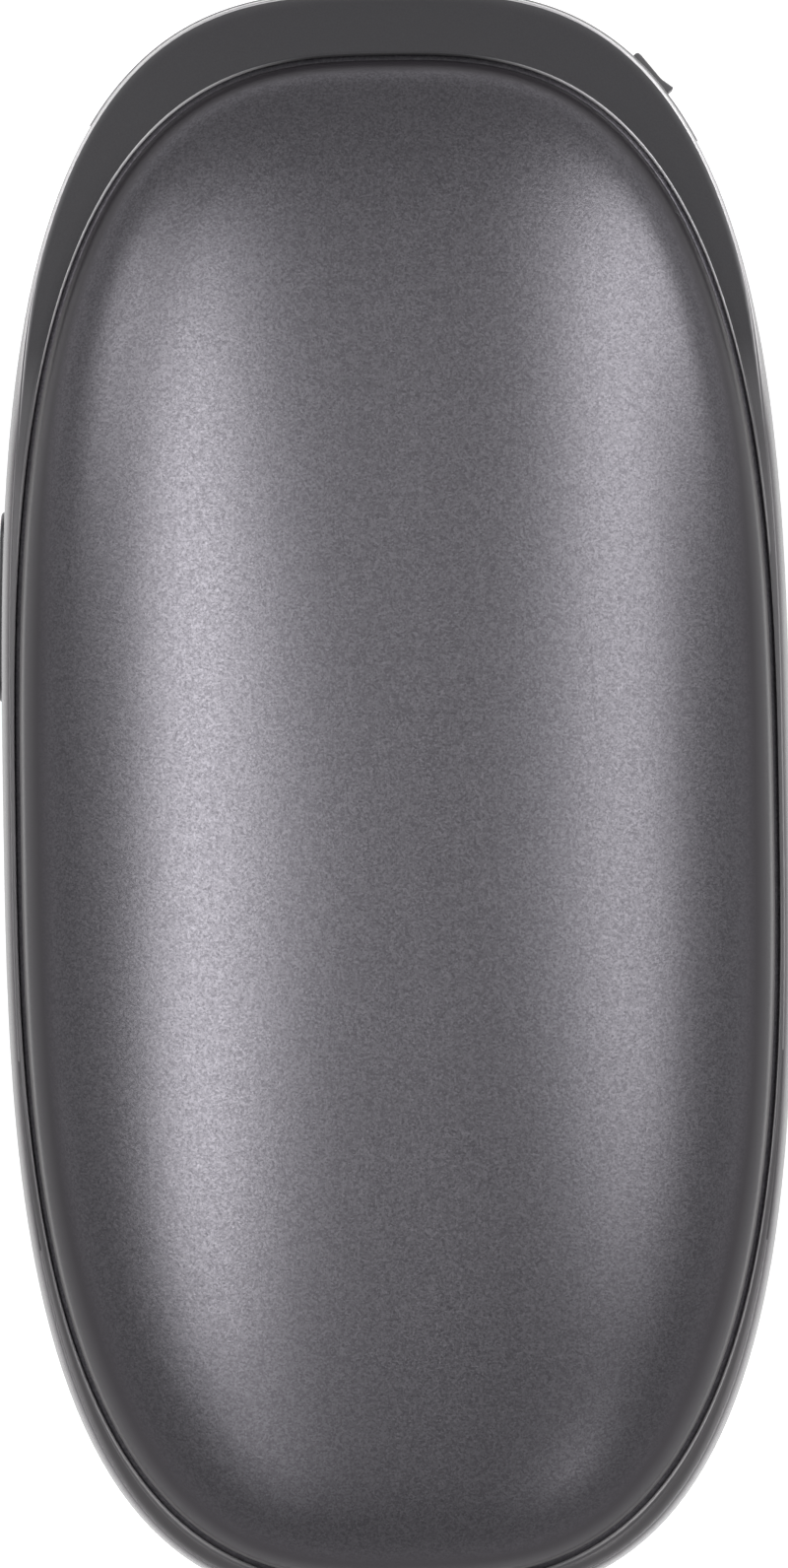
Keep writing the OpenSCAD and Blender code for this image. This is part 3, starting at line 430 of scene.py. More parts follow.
def window_cutter(name, place, size, room, corner, flare):
    size = (size[0] + room, size[1] + room)
    rings = []
    for gap, fall in ((0, None), (0, flare), (0.3 * flare, 0.45 * flare), (flare, 0),
                      (2 * flare, -flare), (2 * flare, -4 * flare)):
        ring = []
        for x, z in rounded_window(*size, corner, gap):
            y = SOCKET_BACK if fall is None else body_y(place + x) - fall
            ring.append((place + x, y, MIDDLE_Z + z))
        rings.append(ring)
    return loft(name, rings)


print("gap round each socket in the band in mm:", round(BAND_ROOM / 2 / MM, 2))

# %% [markdown]
# The recess for the plate and the two lanyard notches follow the outline too. Each is a strip
# between two offsets of the outline, from one angle to another, with a set height. A notch is
# where a wrist strap would be tied, round the steel pin across it. Behind each notch the band's
# wall would be open, so a boss closes it: a block that is joined to the band before the cuts.

# %% Cutters that follow the outline
PLATE_REACH = 22.3 * MM
PLATE_DEPTH = 8.4 * MM
NOTCH_LENGTH = 2.8 * MM
NOTCH_DEPTH = 2.6 * MM
NOTCH_OVERLAP = 0.01
RECESS_HEIGHT = PLATE_DEPTH + 0.2 * MM
BOSS_HALF = 2.6 * MM
BOSS_WALL = 1.2 * MM
PLATE_SHIFT = 0.5 * MM
PLATE_ANGLE = body_angle(PLATE_REACH)
RIGHT_END = body_angle(PLATE_REACH + PLATE_SHIFT)
LEFT_END = math.pi - body_angle(PLATE_REACH - PLATE_SHIFT)
# How far a small step of the angle goes along the outline there, for each radian
SMALL_STEP = 0.01
small_chord = body_point(PLATE_ANGLE) - body_point(PLATE_ANGLE - SMALL_STEP)
step_length = small_chord.length / SMALL_STEP
NOTCH_ANGLE = NOTCH_LENGTH / step_length


def strip_cutter(name, start, end, depth, steps):
    low, high = MIDDLE_Z - RECESS_HEIGHT / 2, MIDDLE_Z + RECESS_HEIGHT / 2
    rings = []
    for k in range(steps + 1):
        p = body_point(start + (end - start) * k / steps)
        n = body_normal(p)
        a, b = p + MM * n, p - depth * n
        rings.append([(a.x, a.y, low), (a.x, a.y, high), (b.x, b.y, high), (b.x, b.y, low)])
    return loft(name, rings)


def local_box(name, angle, out, along, up):
    p, n = body_point(angle), body_normal(body_point(angle))
    side = Vector((-n.y, n.x))
    corners = ((along[0], up[0]), (along[1], up[0]), (along[1], up[1]), (along[0], up[1]))
    rings = []
    for reach in out:
        spots = [(p + reach * n + a * side, z) for a, z in corners]
        rings.append([(q.x, q.y, MIDDLE_Z + z) for q, z in spots])
    return loft(name, rings)


recess = strip_cutter("recess", RIGHT_END, LEFT_END, PLATE_WALL, 40)
notch_middles = (RIGHT_END - NOTCH_ANGLE / 2, LEFT_END + NOTCH_ANGLE / 2)
notch_spans = ((RIGHT_END - NOTCH_ANGLE, RIGHT_END + NOTCH_OVERLAP),
               (LEFT_END - NOTCH_OVERLAP, LEFT_END + NOTCH_ANGLE))
notches = [strip_cutter(f"notch_{i}", start, end, NOTCH_DEPTH, 8)
           for i, (start, end) in enumerate(notch_spans)]
boss_height = EDGE_Z - SEAT_DEPTH - LEDGE_THICKNESS / 2
bosses = [local_box(f"notch_boss_{i}", angle, (-NOTCH_DEPTH - BOSS_WALL, -BOSS_WALL),
                    (-BOSS_HALF, BOSS_HALF), (-boss_height, boss_height))
          for i, angle in enumerate(notch_middles)]
print("notch length in mm:", NOTCH_LENGTH / MM)

# %% [markdown]
# The slide switch's slot goes through the plate and the band square to the outline. A small
# function gives the place and direction of the outline at the knob, and everything about the
# switch is drawn in that local frame: first along the outward normal, then along the outline.

# %% Switch slot
KNOB_PLACE = 19.5 * MM
KNOB_TRAVEL = 2 * MM
SLOT_DEPTH = 4.2 * MM
SLOT_END = 1.15 * MM
SLOT_HALF = 1.05 * MM
knob_point = body_point(body_angle(KNOB_PLACE))
knob_out = body_normal(knob_point)
knob_along = Vector((-knob_out.y, knob_out.x))


def at_knob(out, along, up):
    p = knob_point + out * knob_out + along * knob_along
    return (p.x, p.y, MIDDLE_Z + up)


def box_at_knob(name, out, along, up):
    return local_box(name, body_angle(KNOB_PLACE), out, along, up)


def slot_cutter(name):
    return box_at_knob(name, (-SLOT_DEPTH, MM), (-KNOB_TRAVEL - SLOT_END, SLOT_END),
                       (-SLOT_HALF, SLOT_HALF))


print("switch faces the direction:", [round(v, 3) for v in knob_out])

# %% [markdown]
# The power button lies in a shallow pocket of its own outline, so that a thumb finds it without
# looking. One cutter makes the pocket and the hole behind it: the loft narrows at the pocket's
# floor and goes on inwards at the button's size with a running gap.

# %% Button pocket
BUTTON_LENGTH = 14 * MM
BUTTON_HEIGHT = 4 * MM
BUTTON_PLACE = 14.5 * MM
BUTTON_GAP = 0.1 * MM
POCKET_DEPTH = 0.3 * MM
# The pocket's wall, from its floor to the band's face: gap round the button, and share of depth
POCKET_WALL = ((0.2, 1), (0.55, 1), (0.66, 0.75), (0.72, 0.3))


def button_outline(gap, steps=14):
    radius = BUTTON_HEIGHT / 2 + gap
    half = (BUTTON_LENGTH - BUTTON_HEIGHT) / 2
    points = []
    for end in (1, -1):
        for k in range(steps + 1):
            turn = -math.pi / 2 + math.pi * k / steps + (0 if end > 0 else math.pi)
            points.append((end * half + radius * math.cos(turn), radius * math.sin(turn)))
    return points


def button_ring(gap, proud=None, x=None):
    ring = []
    for along, up in button_outline(gap):
        y = BUTTON_PLACE + along
        ring.append((-(body_x(y) + proud) if x is None else x, y, MIDDLE_Z + up))
    return ring


pocket = loft("pocket", [
    button_ring(BUTTON_GAP, x=-HALF_WIDTH + 4 * MM),
    button_ring(BUTTON_GAP, proud=-POCKET_DEPTH - BUTTON_GAP),
    *[button_ring(gap * MM, proud=-share * POCKET_DEPTH) for gap, share in POCKET_WALL],
    button_ring(0.86 * MM, proud=0.02 * MM),
    button_ring(0.9 * MM, proud=MM)])
print("pocket wider than the button, on each side, by in mm:", POCKET_WALL[-1][0])

# %% [markdown]
# The indicator lights show through four small round holes in the front crescent, below the
# sockets. Their cutters are plain upright rods, because the mould's pins would go the same way.
# Then all the cuts in the band are made at once.

# %% Light holes, and all the cuts in the band
LIGHT_COUNT = 4
LIGHT_PITCH = 2.6 * MM
LIGHT_HOLE = 1.2 * MM
pipe_low, pipe_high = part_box("light_pipe")
LIGHT_Y = (pipe_low.y + pipe_high.y) / 2
LIGHT_X = (pipe_low.x + pipe_high.x) / 2


def round_hole(name, x, y, low, high, diameter, steps=24):
    circle = [(x + diameter / 2 * math.cos(math.tau * k / steps),
               y + diameter / 2 * math.sin(math.tau * k / steps)) for k in range(steps)]
    return loft(name, [raised(circle, low), raised(circle, high)])


light_places = [LIGHT_X + (i - (LIGHT_COUNT - 1) / 2) * LIGHT_PITCH for i in range(LIGHT_COUNT)]
holes = [round_hole(f"light_hole_{i}", x, LIGHT_Y, MIDDLE_Z - EDGE_Z - MM, MIDDLE_Z - 2 * MM,
                    LIGHT_HOLE) for i, x in enumerate(light_places)]
windows = [window_cutter("window_a", USB_A_X, USB_A_SIZE, BAND_ROOM, 0.2 * MM, 0.3 * MM),
           window_cutter("window_c", USB_C_X, USB_C_SIZE, BAND_ROOM, 1.7 * MM, 0.3 * MM)]
cut(band, bosses, "UNION")
cut(band, [recess, *notches, *windows, slot_cutter("slot"), pocket, *holes])
place_piece(band, "mid_frame", "housing", 32)
print("band faces after the cuts:", len(band.data.polygons))

# %% [markdown]
# ## The port plate
#
# The plate is a strip of even thickness that follows the end of the body, with square-cut ends at
# both shoulders. Seen from behind, only its rolled edge shows, as a thin line outside the
# crescent, bright where it mirrors a lamp and grey elsewhere. The roll is built into the section,
# because a bevel added later would be squeezed to nothing by the short faces of the loft. A
# second section close to each end, a little smaller, breaks the sharp edge of the cut.

# %% Plate
PLATE_ROLL = 0.32 * MM
PLATE_STEPS = 150
END_BREAK = 0.06 * MM


def plate_section(angle, pull=0.0):
    p = body_point(angle)
    n = body_normal(p)
    half = PLATE_DEPTH / 2 - pull
    section = []
    for sign in (-1, 1):
        corner = []
        for degrees in (0, 22, 45, 68, 90):
            turn = math.radians(degrees)
            inward = pull + PLATE_ROLL * (1 - math.cos(turn))
            z = half - PLATE_ROLL + PLATE_ROLL * math.sin(turn)
            q = p - inward * n
            corner.append((q.x, q.y, MIDDLE_Z + sign * z))
        back = p - PLATE_WALL * n
        corner.append((back.x, back.y, MIDDLE_Z + sign * half))
        section += corner if sign > 0 else list(reversed(corner))
    return section


end_shift = END_BREAK / step_length
plate_angles = [RIGHT_END + (LEFT_END - RIGHT_END) * k / PLATE_STEPS
                for k in range(1, PLATE_STEPS)]
plate_rings = [plate_section(RIGHT_END, END_BREAK), plate_section(RIGHT_END + end_shift),
               *[plate_section(angle) for angle in plate_angles],
               plate_section(LEFT_END - end_shift), plate_section(LEFT_END, END_BREAK)]
plate = loft("port_plate_moulded", plate_rings)
fronts = [window_cutter("front_a", USB_A_X, USB_A_SIZE, PLATE_ROOM, 0.3 * MM, 0.28 * MM),
          window_cutter("front_c", USB_C_X, USB_C_SIZE, PLATE_ROOM, 1.5 * MM, 0.28 * MM)]
cut(plate, [*fronts, slot_cutter("plate_slot")])
place_piece(plate, "port_plate", "housing", 32)
print("plate faces:", len(plate.data.polygons))

# %% [markdown]
# ## Lanyard pins
#
# Each pin is a short length of drawn steel wire, pressed into the band across its notch. The wire
# is cut and then tumbled, so its ends are slightly domed. A lofted rod with shrinking end rings
# shows that, and a plain cylinder wouldn't.

# %% Pins
PIN_DIAMETER = 1.1 * MM
PIN_TIP = 0.2 * MM
PIN_INSET = 0.4 * MM


def rod(name, start, end, diameter, tip, steps=24):
    start, end = Vector(start), Vector(end)
    along = (end - start).normalized()
    side = along.orthogonal().normalized()
    up = along.cross(side)
    rings = []
    length = (end - start).length
    stations = [(0, 0.55), (0.35 * tip, 0.85), (tip, 1), (length - tip, 1),
                (length - 0.35 * tip, 0.85), (length, 0.55)]
    for distance, share in stations:
        centre = start + distance * along
        ring = []
        for k in range(steps):
            turn = math.tau * k / steps
            reach = share * diameter / 2
            ring.append(centre + reach * (math.cos(turn) * side + math.sin(turn) * up))
        rings.append([tuple(v) for v in ring])
    return loft(name, rings)


pin_low, pin_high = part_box("lanyard_pins")
pins = []
for name, angle in zip(("lanyard_pin_right", "lanyard_pin_left"), notch_middles):
    p = body_point(angle)
    spot = p - (PIN_INSET + PIN_DIAMETER / 2) * body_normal(p)
    pin = rod(name, (spot.x, spot.y, pin_low.z), (spot.x, spot.y, pin_high.z),
              PIN_DIAMETER, PIN_TIP)
    pins.append(place_piece(pin, "lanyard_pins", "housing", 60))
print("pin diameter in mm:", round(PIN_DIAMETER / MM, 2))

# %% [markdown]
# ## The switch knob
#
# From behind, the knob shows only its profile above the shoulder: a low block with a thumb ridge
# at its lower end, where the thumb pushes. The profile is drawn in the switch's local frame, then
# lofted across the knob's width with slightly smaller end rings, which round its corners. A stem
# through the slot joins the knob to the lever behind it, which fits a socket in the stem.

# %% Knob
KNOB_HALF = 1.6 * MM
# The profile in millimetres: out from the plate, and along it from the knob's middle
KNOB_BASE = 0.10
KNOB_PROFILE = (
    (KNOB_BASE, 2.00), (0.26, 2.00), (0.38, 1.96), (0.46, 1.87), (0.49, 1.74), (0.50, 1.50),
    (0.43, -0.40), (0.43, -0.60), (0.46, -0.80), (0.61, -1.50), (0.64, -1.60), (0.65, -1.67),
    (0.63, -1.73), (0.55, -1.76), (KNOB_BASE, -1.76))
# How far each ring is from the knob's side in millimetres, and how much it shrinks
KNOB_ROUNDING = ((0, 0.12), (0.05, 0.05), (0.15, 0))


def knob_ring(up, pull):
    ring = []
    for out, along in KNOB_PROFILE:
        out_mm = KNOB_BASE + (out - KNOB_BASE) * (1 - pull / 0.5) if pull else out
        ring.append(at_knob(out_mm * MM, along * (1 - 0.12 * pull) * MM, up))
    return ring


knob_levels = [(-KNOB_HALF + inset * MM, pull) for inset, pull in KNOB_ROUNDING]
knob_levels += [(KNOB_HALF - inset * MM, pull) for inset, pull in reversed(KNOB_ROUNDING)]
knob = loft("switch_knob_moulded", [knob_ring(up, pull) for up, pull in knob_levels])
stem = box_at_knob("stem", (-3.1 * MM, 0.2 * MM), (-MM, MM), (-0.9 * MM, 0.9 * MM))
socket = box_at_knob("lever_socket", (-4.1 * MM, -1.55 * MM), (-0.55 * MM, 0.55 * MM),
                     (-0.45 * MM, 0.45 * MM))
cut(knob, [stem], "UNION")
cut(knob, [socket])
place_piece(knob, "switch_knob", "switch", 28)
print("knob faces:", len(knob.data.polygons))

# %% [markdown]
# ## The power button
#
# The button's face follows the side of the body and stands a quarter of a millimetre out of it,
# with a rounded rim. It is lofted from its hidden flange outwards, and the last rings shrink onto
# a slightly crowned face.

# %% Button
FLANGE_REACH = 0.7 * MM
# The rim's section in millimetres: how far it stands out of the band, and in from the outline
BUTTON_RIM = ((-0.25, 0), (-0.02, -0.01), (0.1, -0.05), (0.18, -0.12), (0.22, -0.22),
              (0.24, -0.4), (0.25, -0.8), (0.25, -1.3))
flange_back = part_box("power_button")[1].x
flange_front = flange_back - 0.8 * MM
rings = [button_ring(FLANGE_REACH, x=flange_back), button_ring(FLANGE_REACH, x=flange_front),
         button_ring(0, x=flange_front)]
rings += [button_ring(gap * MM, proud=proud * MM) for proud, gap in BUTTON_RIM]
button = loft("power_button_moulded", rings)
place_piece(button, "power_button", "button", 40)
print("button faces:", len(button.data.polygons))

# %% [markdown]
# ## Inside the sockets
#
# Looking into the larger socket you see a dark moulded tongue with four gold contacts under it.
# The smaller socket has a thin tongue with a row of fine contacts on both faces. The tongues and
# contacts are separate pieces, because they are different materials and light shows it.

# %% Tongues and contacts
def block(low, high, edge=0.0):
    (x0, y0, z0), (x1, y1, z1) = low, high
    levels = ((z0, 0), (z1, 0))
    if edge:
        levels = ((z0, edge), (z0 + edge, 0), (z1 - edge, 0), (z1, edge))
    rings = [[(x0 + pull, y0 + pull, z), (x1 - pull, y0 + pull, z),
              (x1 - pull, y1 - pull, z), (x0 + pull, y1 - pull, z)] for z, pull in levels]
    return loft("block", rings)


def joined(name, parts):
    verts, faces = [], []
    for part in parts:
        base = len(verts)
        verts += [v.co.copy() for v in part.data.vertices]
        faces += [tuple(base + v for v in p.vertices) for p in part.data.polygons]
        bpy.data.objects.remove(part)
    return new_object(name, verts, faces)


a_low, a_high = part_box("usb_a_tongue")
TONGUE_Z = MIDDLE_Z + USB_A_SIZE[1] / 9
TONGUE_LOW = TONGUE_Z - USB_A_SIZE[1] / 6
TONGUE_HIGH = TONGUE_Z + USB_A_SIZE[1] / 6
TONGUE_HALF = 5.5 * MM
CONTACT_HALF = 0.6 * MM
tongue_a = joined("usb_a_tongue_moulded", [
    block((USB_A_X - TONGUE_HALF, a_low.y, TONGUE_LOW),
          (USB_A_X + TONGUE_HALF, a_high.y, TONGUE_HIGH), 0.25 * MM),
    block(a_low, (a_high.x, a_low.y + 4.2 * MM, a_high.z), 0.1 * MM)])
place_piece(tongue_a, "usb_a_tongue", "housing")
bars = []
for place in (-3.5, -1.0, 1.0, 3.5):
    x = USB_A_X + place * MM
    inset = (0.5 + 0.8 * (abs(place) < 2)) * MM     # the two data contacts are the shorter ones
    bars.append(block((x - CONTACT_HALF, a_low.y + 4 * MM, TONGUE_LOW - 0.12 * MM),
                      (x + CONTACT_HALF, a_high.y - inset, TONGUE_LOW + 0.1 * MM), 0.05 * MM))
contacts_a = joined("usb_a_contacts_plated", bars)
place_piece(contacts_a, "usb_a_tongue", "housing")
print("contacts in the larger socket:", len(bars))

# %% [markdown]
# The smaller socket's tongue is only 0.7 mm thick, and its contacts are half a millimetre apart,
# twelve on each face. They are plain blocks without a broken edge, being too fine to show one.

# %% Tongue and contacts of the smaller socket
FINE_PITCH = 0.5
FINE_HALF = 0.13 * MM
c_low, c_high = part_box("usb_c_tongue")
tongue_c = joined("usb_c_tongue_moulded", [
    block((c_low.x, c_low.y, MIDDLE_Z - 0.34 * MM), (c_high.x, c_high.y, MIDDLE_Z + 0.34 * MM),
          0.12 * MM),
    block((c_low.x + 0.5 * MM, c_low.y, c_low.z),
          (c_high.x - 0.5 * MM, c_low.y + 1.8 * MM, c_high.z), 0.1 * MM)])
place_piece(tongue_c, "usb_c_tongue", "housing")
bars = []
for i in range(12):
    x = USB_C_X + (FINE_PITCH * i - 5.5 * FINE_PITCH) * MM
    for side in (-1, 1):
        z = MIDDLE_Z + side * 0.36 * MM
        bars.append(block((x - FINE_HALF, c_low.y + 2 * MM, z - 0.05 * MM),
                          (x + FINE_HALF, c_high.y - 0.6 * MM, z + 0.05 * MM)))
contacts_c = joined("usb_c_contacts_plated", bars)
place_piece(contacts_c, "usb_c_tongue", "housing")
print("contacts in the smaller socket:", len(bars))

# %% [markdown]
# ## Colours and nodes
#
# A colour is written as the hex value a paint chart or a picture would give, and one function
# turns it into the linear light that Blender works in. One more function adds a node to a
# material with its settings and its links, so that each finish below reads as a short recipe.
# Two settings come back so often that they have a name: a mix of two colours, and a map range
# that eases in and out, as the edge of a sprayed area does.
#
# Two measures are used in several finishes. The size of a pattern is given in millimetres, and
# the lean of a surface is how upright its normal stands: 1 where it is level, 0 where it is steep.

# %% Colour and node helpers
COLOURS = {"data_type": "RGBA"}
SMOOTH = {"interpolation_type": "SMOOTHSTEP"}


def linear(code):
    values = []
    for k in (1, 3, 5):
        v = int(code[k:k + 2], 16) / 255
        values.append(v / 12.92 if v <= 0.04045 else ((v + 0.055) / 1.055) ** 2.4)
    return (*values, 1.0)


def add(tree, kind, settings=None, inputs=None):
    node = tree.nodes.new(kind)
    for key, value in (settings or {}).items():
        setattr(node, key, value)
    for key, value in (inputs or {}).items():
        if isinstance(value, bpy.types.NodeSocket):
            tree.links.new(value, node.inputs[key])
        else:
            node.inputs[key].default_value = value
    return node


def new_material(name, constants):
    material = bpy.data.materials.new(name)
    material.use_nodes = True
    tree = material.node_tree
    tree.nodes.clear()
    shader = add(tree, "ShaderNodeBsdfPrincipled", inputs=constants)
    add(tree, "ShaderNodeOutputMaterial", inputs={"Surface": shader.outputs["BSDF"]})
    place = add(tree, "ShaderNodeTexCoord").outputs["Object"]
    return material, tree, shader, place


def per_mm(size):
    return 1 / (size * MM)


def lean(tree):
    way = add(tree, "ShaderNodeTexCoord").outputs["Normal"]
    parts = add(tree, "ShaderNodeSeparateXYZ", inputs={"Vector": way})
    upright = add(tree, "ShaderNodeMath", {"operation": "ABSOLUTE"}, {0: parts.outputs["Z"]})
    return upright.outputs[0]


print("mid grey in linear light:", [round(v, 3) for v in linear("#808080")[:3]])

# %% [markdown]
# ## Sprayed metallic paint
#
# The shells wear a gunmetal metallic paint: fine aluminium flakes in a dark lacquer, sprayed on in
# a thin coat and left satin. It gives the eye three things. The flakes make it behave like a dull
# metal, with wide soft highlights. Each flake tilts its own way, so the surface glitters finely.
# And the lacquer dries with a faint leather-like grain, a tenth to a fifth of a millimetre wide.
#
# Towards the edge, where the surface leans steeply, the colour is painted dark and dull: painted
# shade. Along the sides and the bottom the steepest edge is painted lighter: a painted highlight.
# The painted shade reaches less far in at the port end and further in at the heel.
#
# The flakes are cells of a Voronoi pattern with a different brightness each. A real flake is about
# 0.03 mm across, which no render of this size can show, so the cells are drawn at 0.13 mm.

# %% Shell paint
FLAKE_SIZE = 0.13
GRAIN_SIZE = 0.24
shell_paint, tree, shader, place = new_material("metallic_lacquer_sprayed_painted_shade", {
    "IOR": 1.5, "Specular Tint": (0.45, 0.45, 0.46, 1.0)})
flakes = add(tree, "ShaderNodeTexVoronoi", {"feature": "F1"}, {
    "Vector": place, "Scale": per_mm(FLAKE_SIZE), "Randomness": 1.0})
flake_tone = add(tree, "ShaderNodeSeparateColor", inputs={"Color": flakes.outputs["Color"]})
colour = add(tree, "ShaderNodeMix", COLOURS, {
    "Factor": flake_tone.outputs["Red"], "A": linear("#5a585d"), "B": linear("#706e73")})
steepness = lean(tree)
along = add(tree, "ShaderNodeSeparateXYZ", inputs={"Vector": place})
# The painted shade starts further out at the port end and further in at the heel
shade_narrower_at_port = add(tree, "ShaderNodeMapRange", SMOOTH, {
    "Value": along.outputs["Y"], "From Min": 10 * MM, "From Max": 34 * MM, "To Max": 0.07})
shade_wider_at_heel = add(tree, "ShaderNodeMapRange", SMOOTH, {
    "Value": along.outputs["Y"], "From Min": -20 * MM, "From Max": -46 * MM, "To Max": -0.07})
shade_reach_change = add(tree, "ShaderNodeMath", {"operation": "ADD"}, {
    0: shade_narrower_at_port.outputs["Result"], 1: shade_wider_at_heel.outputs["Result"]})
shade_lean = add(tree, "ShaderNodeMath", {"operation": "ADD"}, {
    0: steepness, 1: shade_reach_change.outputs[0]})
# painted shade: the colour darkens where the surface leans steeply towards the edge
painted_shade_rim = add(tree, "ShaderNodeMapRange", SMOOTH, {
    "Value": shade_lean.outputs[0], "From Min": 0.88, "From Max": 0.66})
print("flakes per mm:", round(1 / FLAKE_SIZE, 1))

# %% [markdown]
# The painted shade is a dull dark tone, a little lighter at the heel, and the painted highlight is
# a light tone where the surface leans most, away from the port end. The paint counts as a metal
# only outside the painted shade, which has no flakes. The grain makes it uneven both in height and
# in gloss.

# %% Painted shade, painted edge highlight and grain of the shell paint
# painted highlight: the steepest edge, except at the port end, is painted a light tone
edge = add(tree, "ShaderNodeMapRange", SMOOTH, {
    "Value": steepness, "From Min": 0.44, "From Max": 0.32})
edge_highlight_span = add(tree, "ShaderNodeMapRange", SMOOTH, {
    "Value": along.outputs["Y"], "From Min": 44 * MM, "From Max": 30 * MM})
painted_edge_highlight = add(tree, "ShaderNodeMath", {"operation": "MULTIPLY"}, {
    0: edge.outputs["Result"], 1: edge_highlight_span.outputs["Result"]})
heel = add(tree, "ShaderNodeMapRange", SMOOTH, {
    "Value": along.outputs["Y"], "From Min": -24 * MM, "From Max": -48 * MM})
# painted shade tone for the steep edge, painted a little lighter at the heel
painted_shade_tone = add(tree, "ShaderNodeMix", COLOURS, {
    "Factor": heel.outputs["Result"], "A": linear("#302d31"), "B": linear("#3a373b")})
# the painted highlight on the steepest edge is mixed into the painted shade
painted_shade_and_highlight = add(tree, "ShaderNodeMix", COLOURS, {
    "Factor": painted_edge_highlight.outputs[0], "A": painted_shade_tone.outputs["Result"], "B": linear("#757374")})
paint = add(tree, "ShaderNodeMix", COLOURS, {
    "Factor": painted_shade_rim.outputs["Result"], "A": colour.outputs["Result"],
    "B": painted_shade_and_highlight.outputs["Result"]})
tree.links.new(paint.outputs["Result"], shader.inputs["Base Color"])
metal_share = add(tree, "ShaderNodeMapRange", inputs={
    "Value": painted_shade_rim.outputs["Result"], "To Min": 0.86, "To Max": 0.2})
tree.links.new(metal_share.outputs["Result"], shader.inputs["Metallic"])
grain = add(tree, "ShaderNodeTexNoise", inputs={
    "Vector": place, "Scale": per_mm(GRAIN_SIZE), "Detail": 3.0, "Roughness": 0.6})
rough = add(tree, "ShaderNodeMapRange", inputs={
    "Value": grain.outputs["Fac"], "From Min": 0.3, "From Max": 0.7,
    "To Min": 0.28, "To Max": 0.39})
tree.links.new(rough.outputs["Result"], shader.inputs["Roughness"])
depth = add(tree, "ShaderNodeMapRange", inputs={
    "Value": painted_shade_rim.outputs["Result"], "To Min": 0.3, "To Max": 0.06})
bump = add(tree, "ShaderNodeBump", inputs={
    "Height": grain.outputs["Fac"], "Strength": depth.outputs["Result"], "Distance": 0.03 * MM})
tree.links.new(bump.outputs["Normal"], shader.inputs["Normal"])
print("grain per mm:", round(1 / GRAIN_SIZE, 1))

# %% [markdown]
# ## Moulded plastics
#
# The band, the plate, the knob and the button are ABS. They differ only in how the steel mould was
# finished. A mould that was vapour blasted leaves a satin face, as on the band. One that was spark
# eroded leaves a matt face with a fine even pit, as on the knob. So one recipe serves all of them
# but the band: a dark body colour, a pit size in millimetres, a pit depth and a roughness that
# varies with it. The band has a recipe of its own. The plate has a thin metallic lacquer over it,
# which gives the line along its edge some shine.

# %% Moulded ABS and other plastics
KNOB_PIT = 0.15


def moulded(name, dark, light, roughness, pit, depth, constants=None):
    material, tree, shader, place = new_material(name, {"IOR": 1.52, **(constants or {})})
    pits = add(tree, "ShaderNodeTexNoise", inputs={
        "Vector": place, "Scale": per_mm(pit), "Detail": 2.0, "Roughness": 0.55})
    flow = add(tree, "ShaderNodeTexNoise", inputs={
        "Vector": place, "Scale": per_mm(6), "Detail": 1.0, "Roughness": 0.4})
    mixed_tone = add(tree, "ShaderNodeMix", COLOURS, {
        "Factor": flow.outputs["Fac"], "A": linear(dark), "B": linear(light)})
    tree.links.new(mixed_tone.outputs["Result"], shader.inputs["Base Color"])
    gloss = add(tree, "ShaderNodeMapRange", inputs={
        "Value": pits.outputs["Fac"], "From Min": 0.3, "From Max": 0.7,
        "To Min": roughness - 0.04, "To Max": roughness + 0.05})
    tree.links.new(gloss.outputs["Result"], shader.inputs["Roughness"])
    bump = add(tree, "ShaderNodeBump", inputs={
        "Height": pits.outputs["Fac"], "Strength": 0.4, "Distance": depth * MM})
    tree.links.new(bump.outputs["Normal"], shader.inputs["Normal"])
    return material


plate_abs = moulded("abs_plate_sprayed", "#5e5c5e", "#646264", 0.26, 0.12, 0.01,
                    {"Metallic": 0.45})
knob_abs = moulded("abs_spark_eroded_moulded", "#5c5b5d", "#636264", 0.45, KNOB_PIT, 0.03)
button_abs = moulded("abs_button_moulded", "#2c2c2f", "#323235", 0.36, 0.13, 0.02)
contact_resin = moulded("liquid_crystal_polymer_moulded", "#17181a", "#1d1e20", 0.42, 0.1, 0.02)
cradle_abs = moulded("abs_cradle_moulded", "#232428", "#2a2b2f", 0.5, 0.2, 0.03)
nylon = moulded("nylon_lever_moulded", "#e0dccf", "#ece8dc", 0.4, 0.2, 0.02,
                {"Subsurface Weight": 0.1, "Subsurface Scale": 0.4 * MM})
switch_case = moulded("steel_switch_case_pressed", "#b4b7bb", "#c2c5c9", 0.34, 0.1, 0.006,
                      {"Metallic": 1.0, "IOR": 1.5})
print("pit size on the knob in mm:", KNOB_PIT)

# %% [markdown]
# ## The band's finish
#
# The band has a recipe of its own. Its flat crescent is bare, finely blasted plastic, dark and
# nearly even. Its rounded side carries a thin spray of metallic lacquer, and the roll on its lip a
# little of it, and there the colour is painted light: painted reflections and highlights. The
# spray is found by how far the surface leans: it starts at 8 degrees and is full at 20. Away from
# the port end the facet is so narrow that the spray, with its painted light, drifts over it as
# well.

# %% Where the band is sprayed and painted with light
band_abs, tree, shader, place = new_material("abs_satin_moulded_sprayed_painted_light", {
    "IOR": 1.52, "Specular IOR Level": 0.25})
steepness = lean(tree)
leaning = add(tree, "ShaderNodeMapRange", SMOOTH, {
    "Value": steepness, "From Min": 0.99, "From Max": 0.94})
spot = add(tree, "ShaderNodeSeparateXYZ", inputs={"Vector": place})
overspray_and_painted_light = add(tree, "ShaderNodeMapRange", SMOOTH, {
    "Value": spot.outputs["Y"], "From Min": 34 * MM, "From Max": 20 * MM, "To Max": 0.5})
# this mask also lays the painted light of the band's tones over the bare plastic
sprayed = add(tree, "ShaderNodeMath", {"operation": "MAXIMUM"}, {
    0: leaning.outputs["Result"], 1: overspray_and_painted_light.outputs["Result"]})
print("spray starts at a lean of", round(math.degrees(math.acos(0.99))), "degrees")
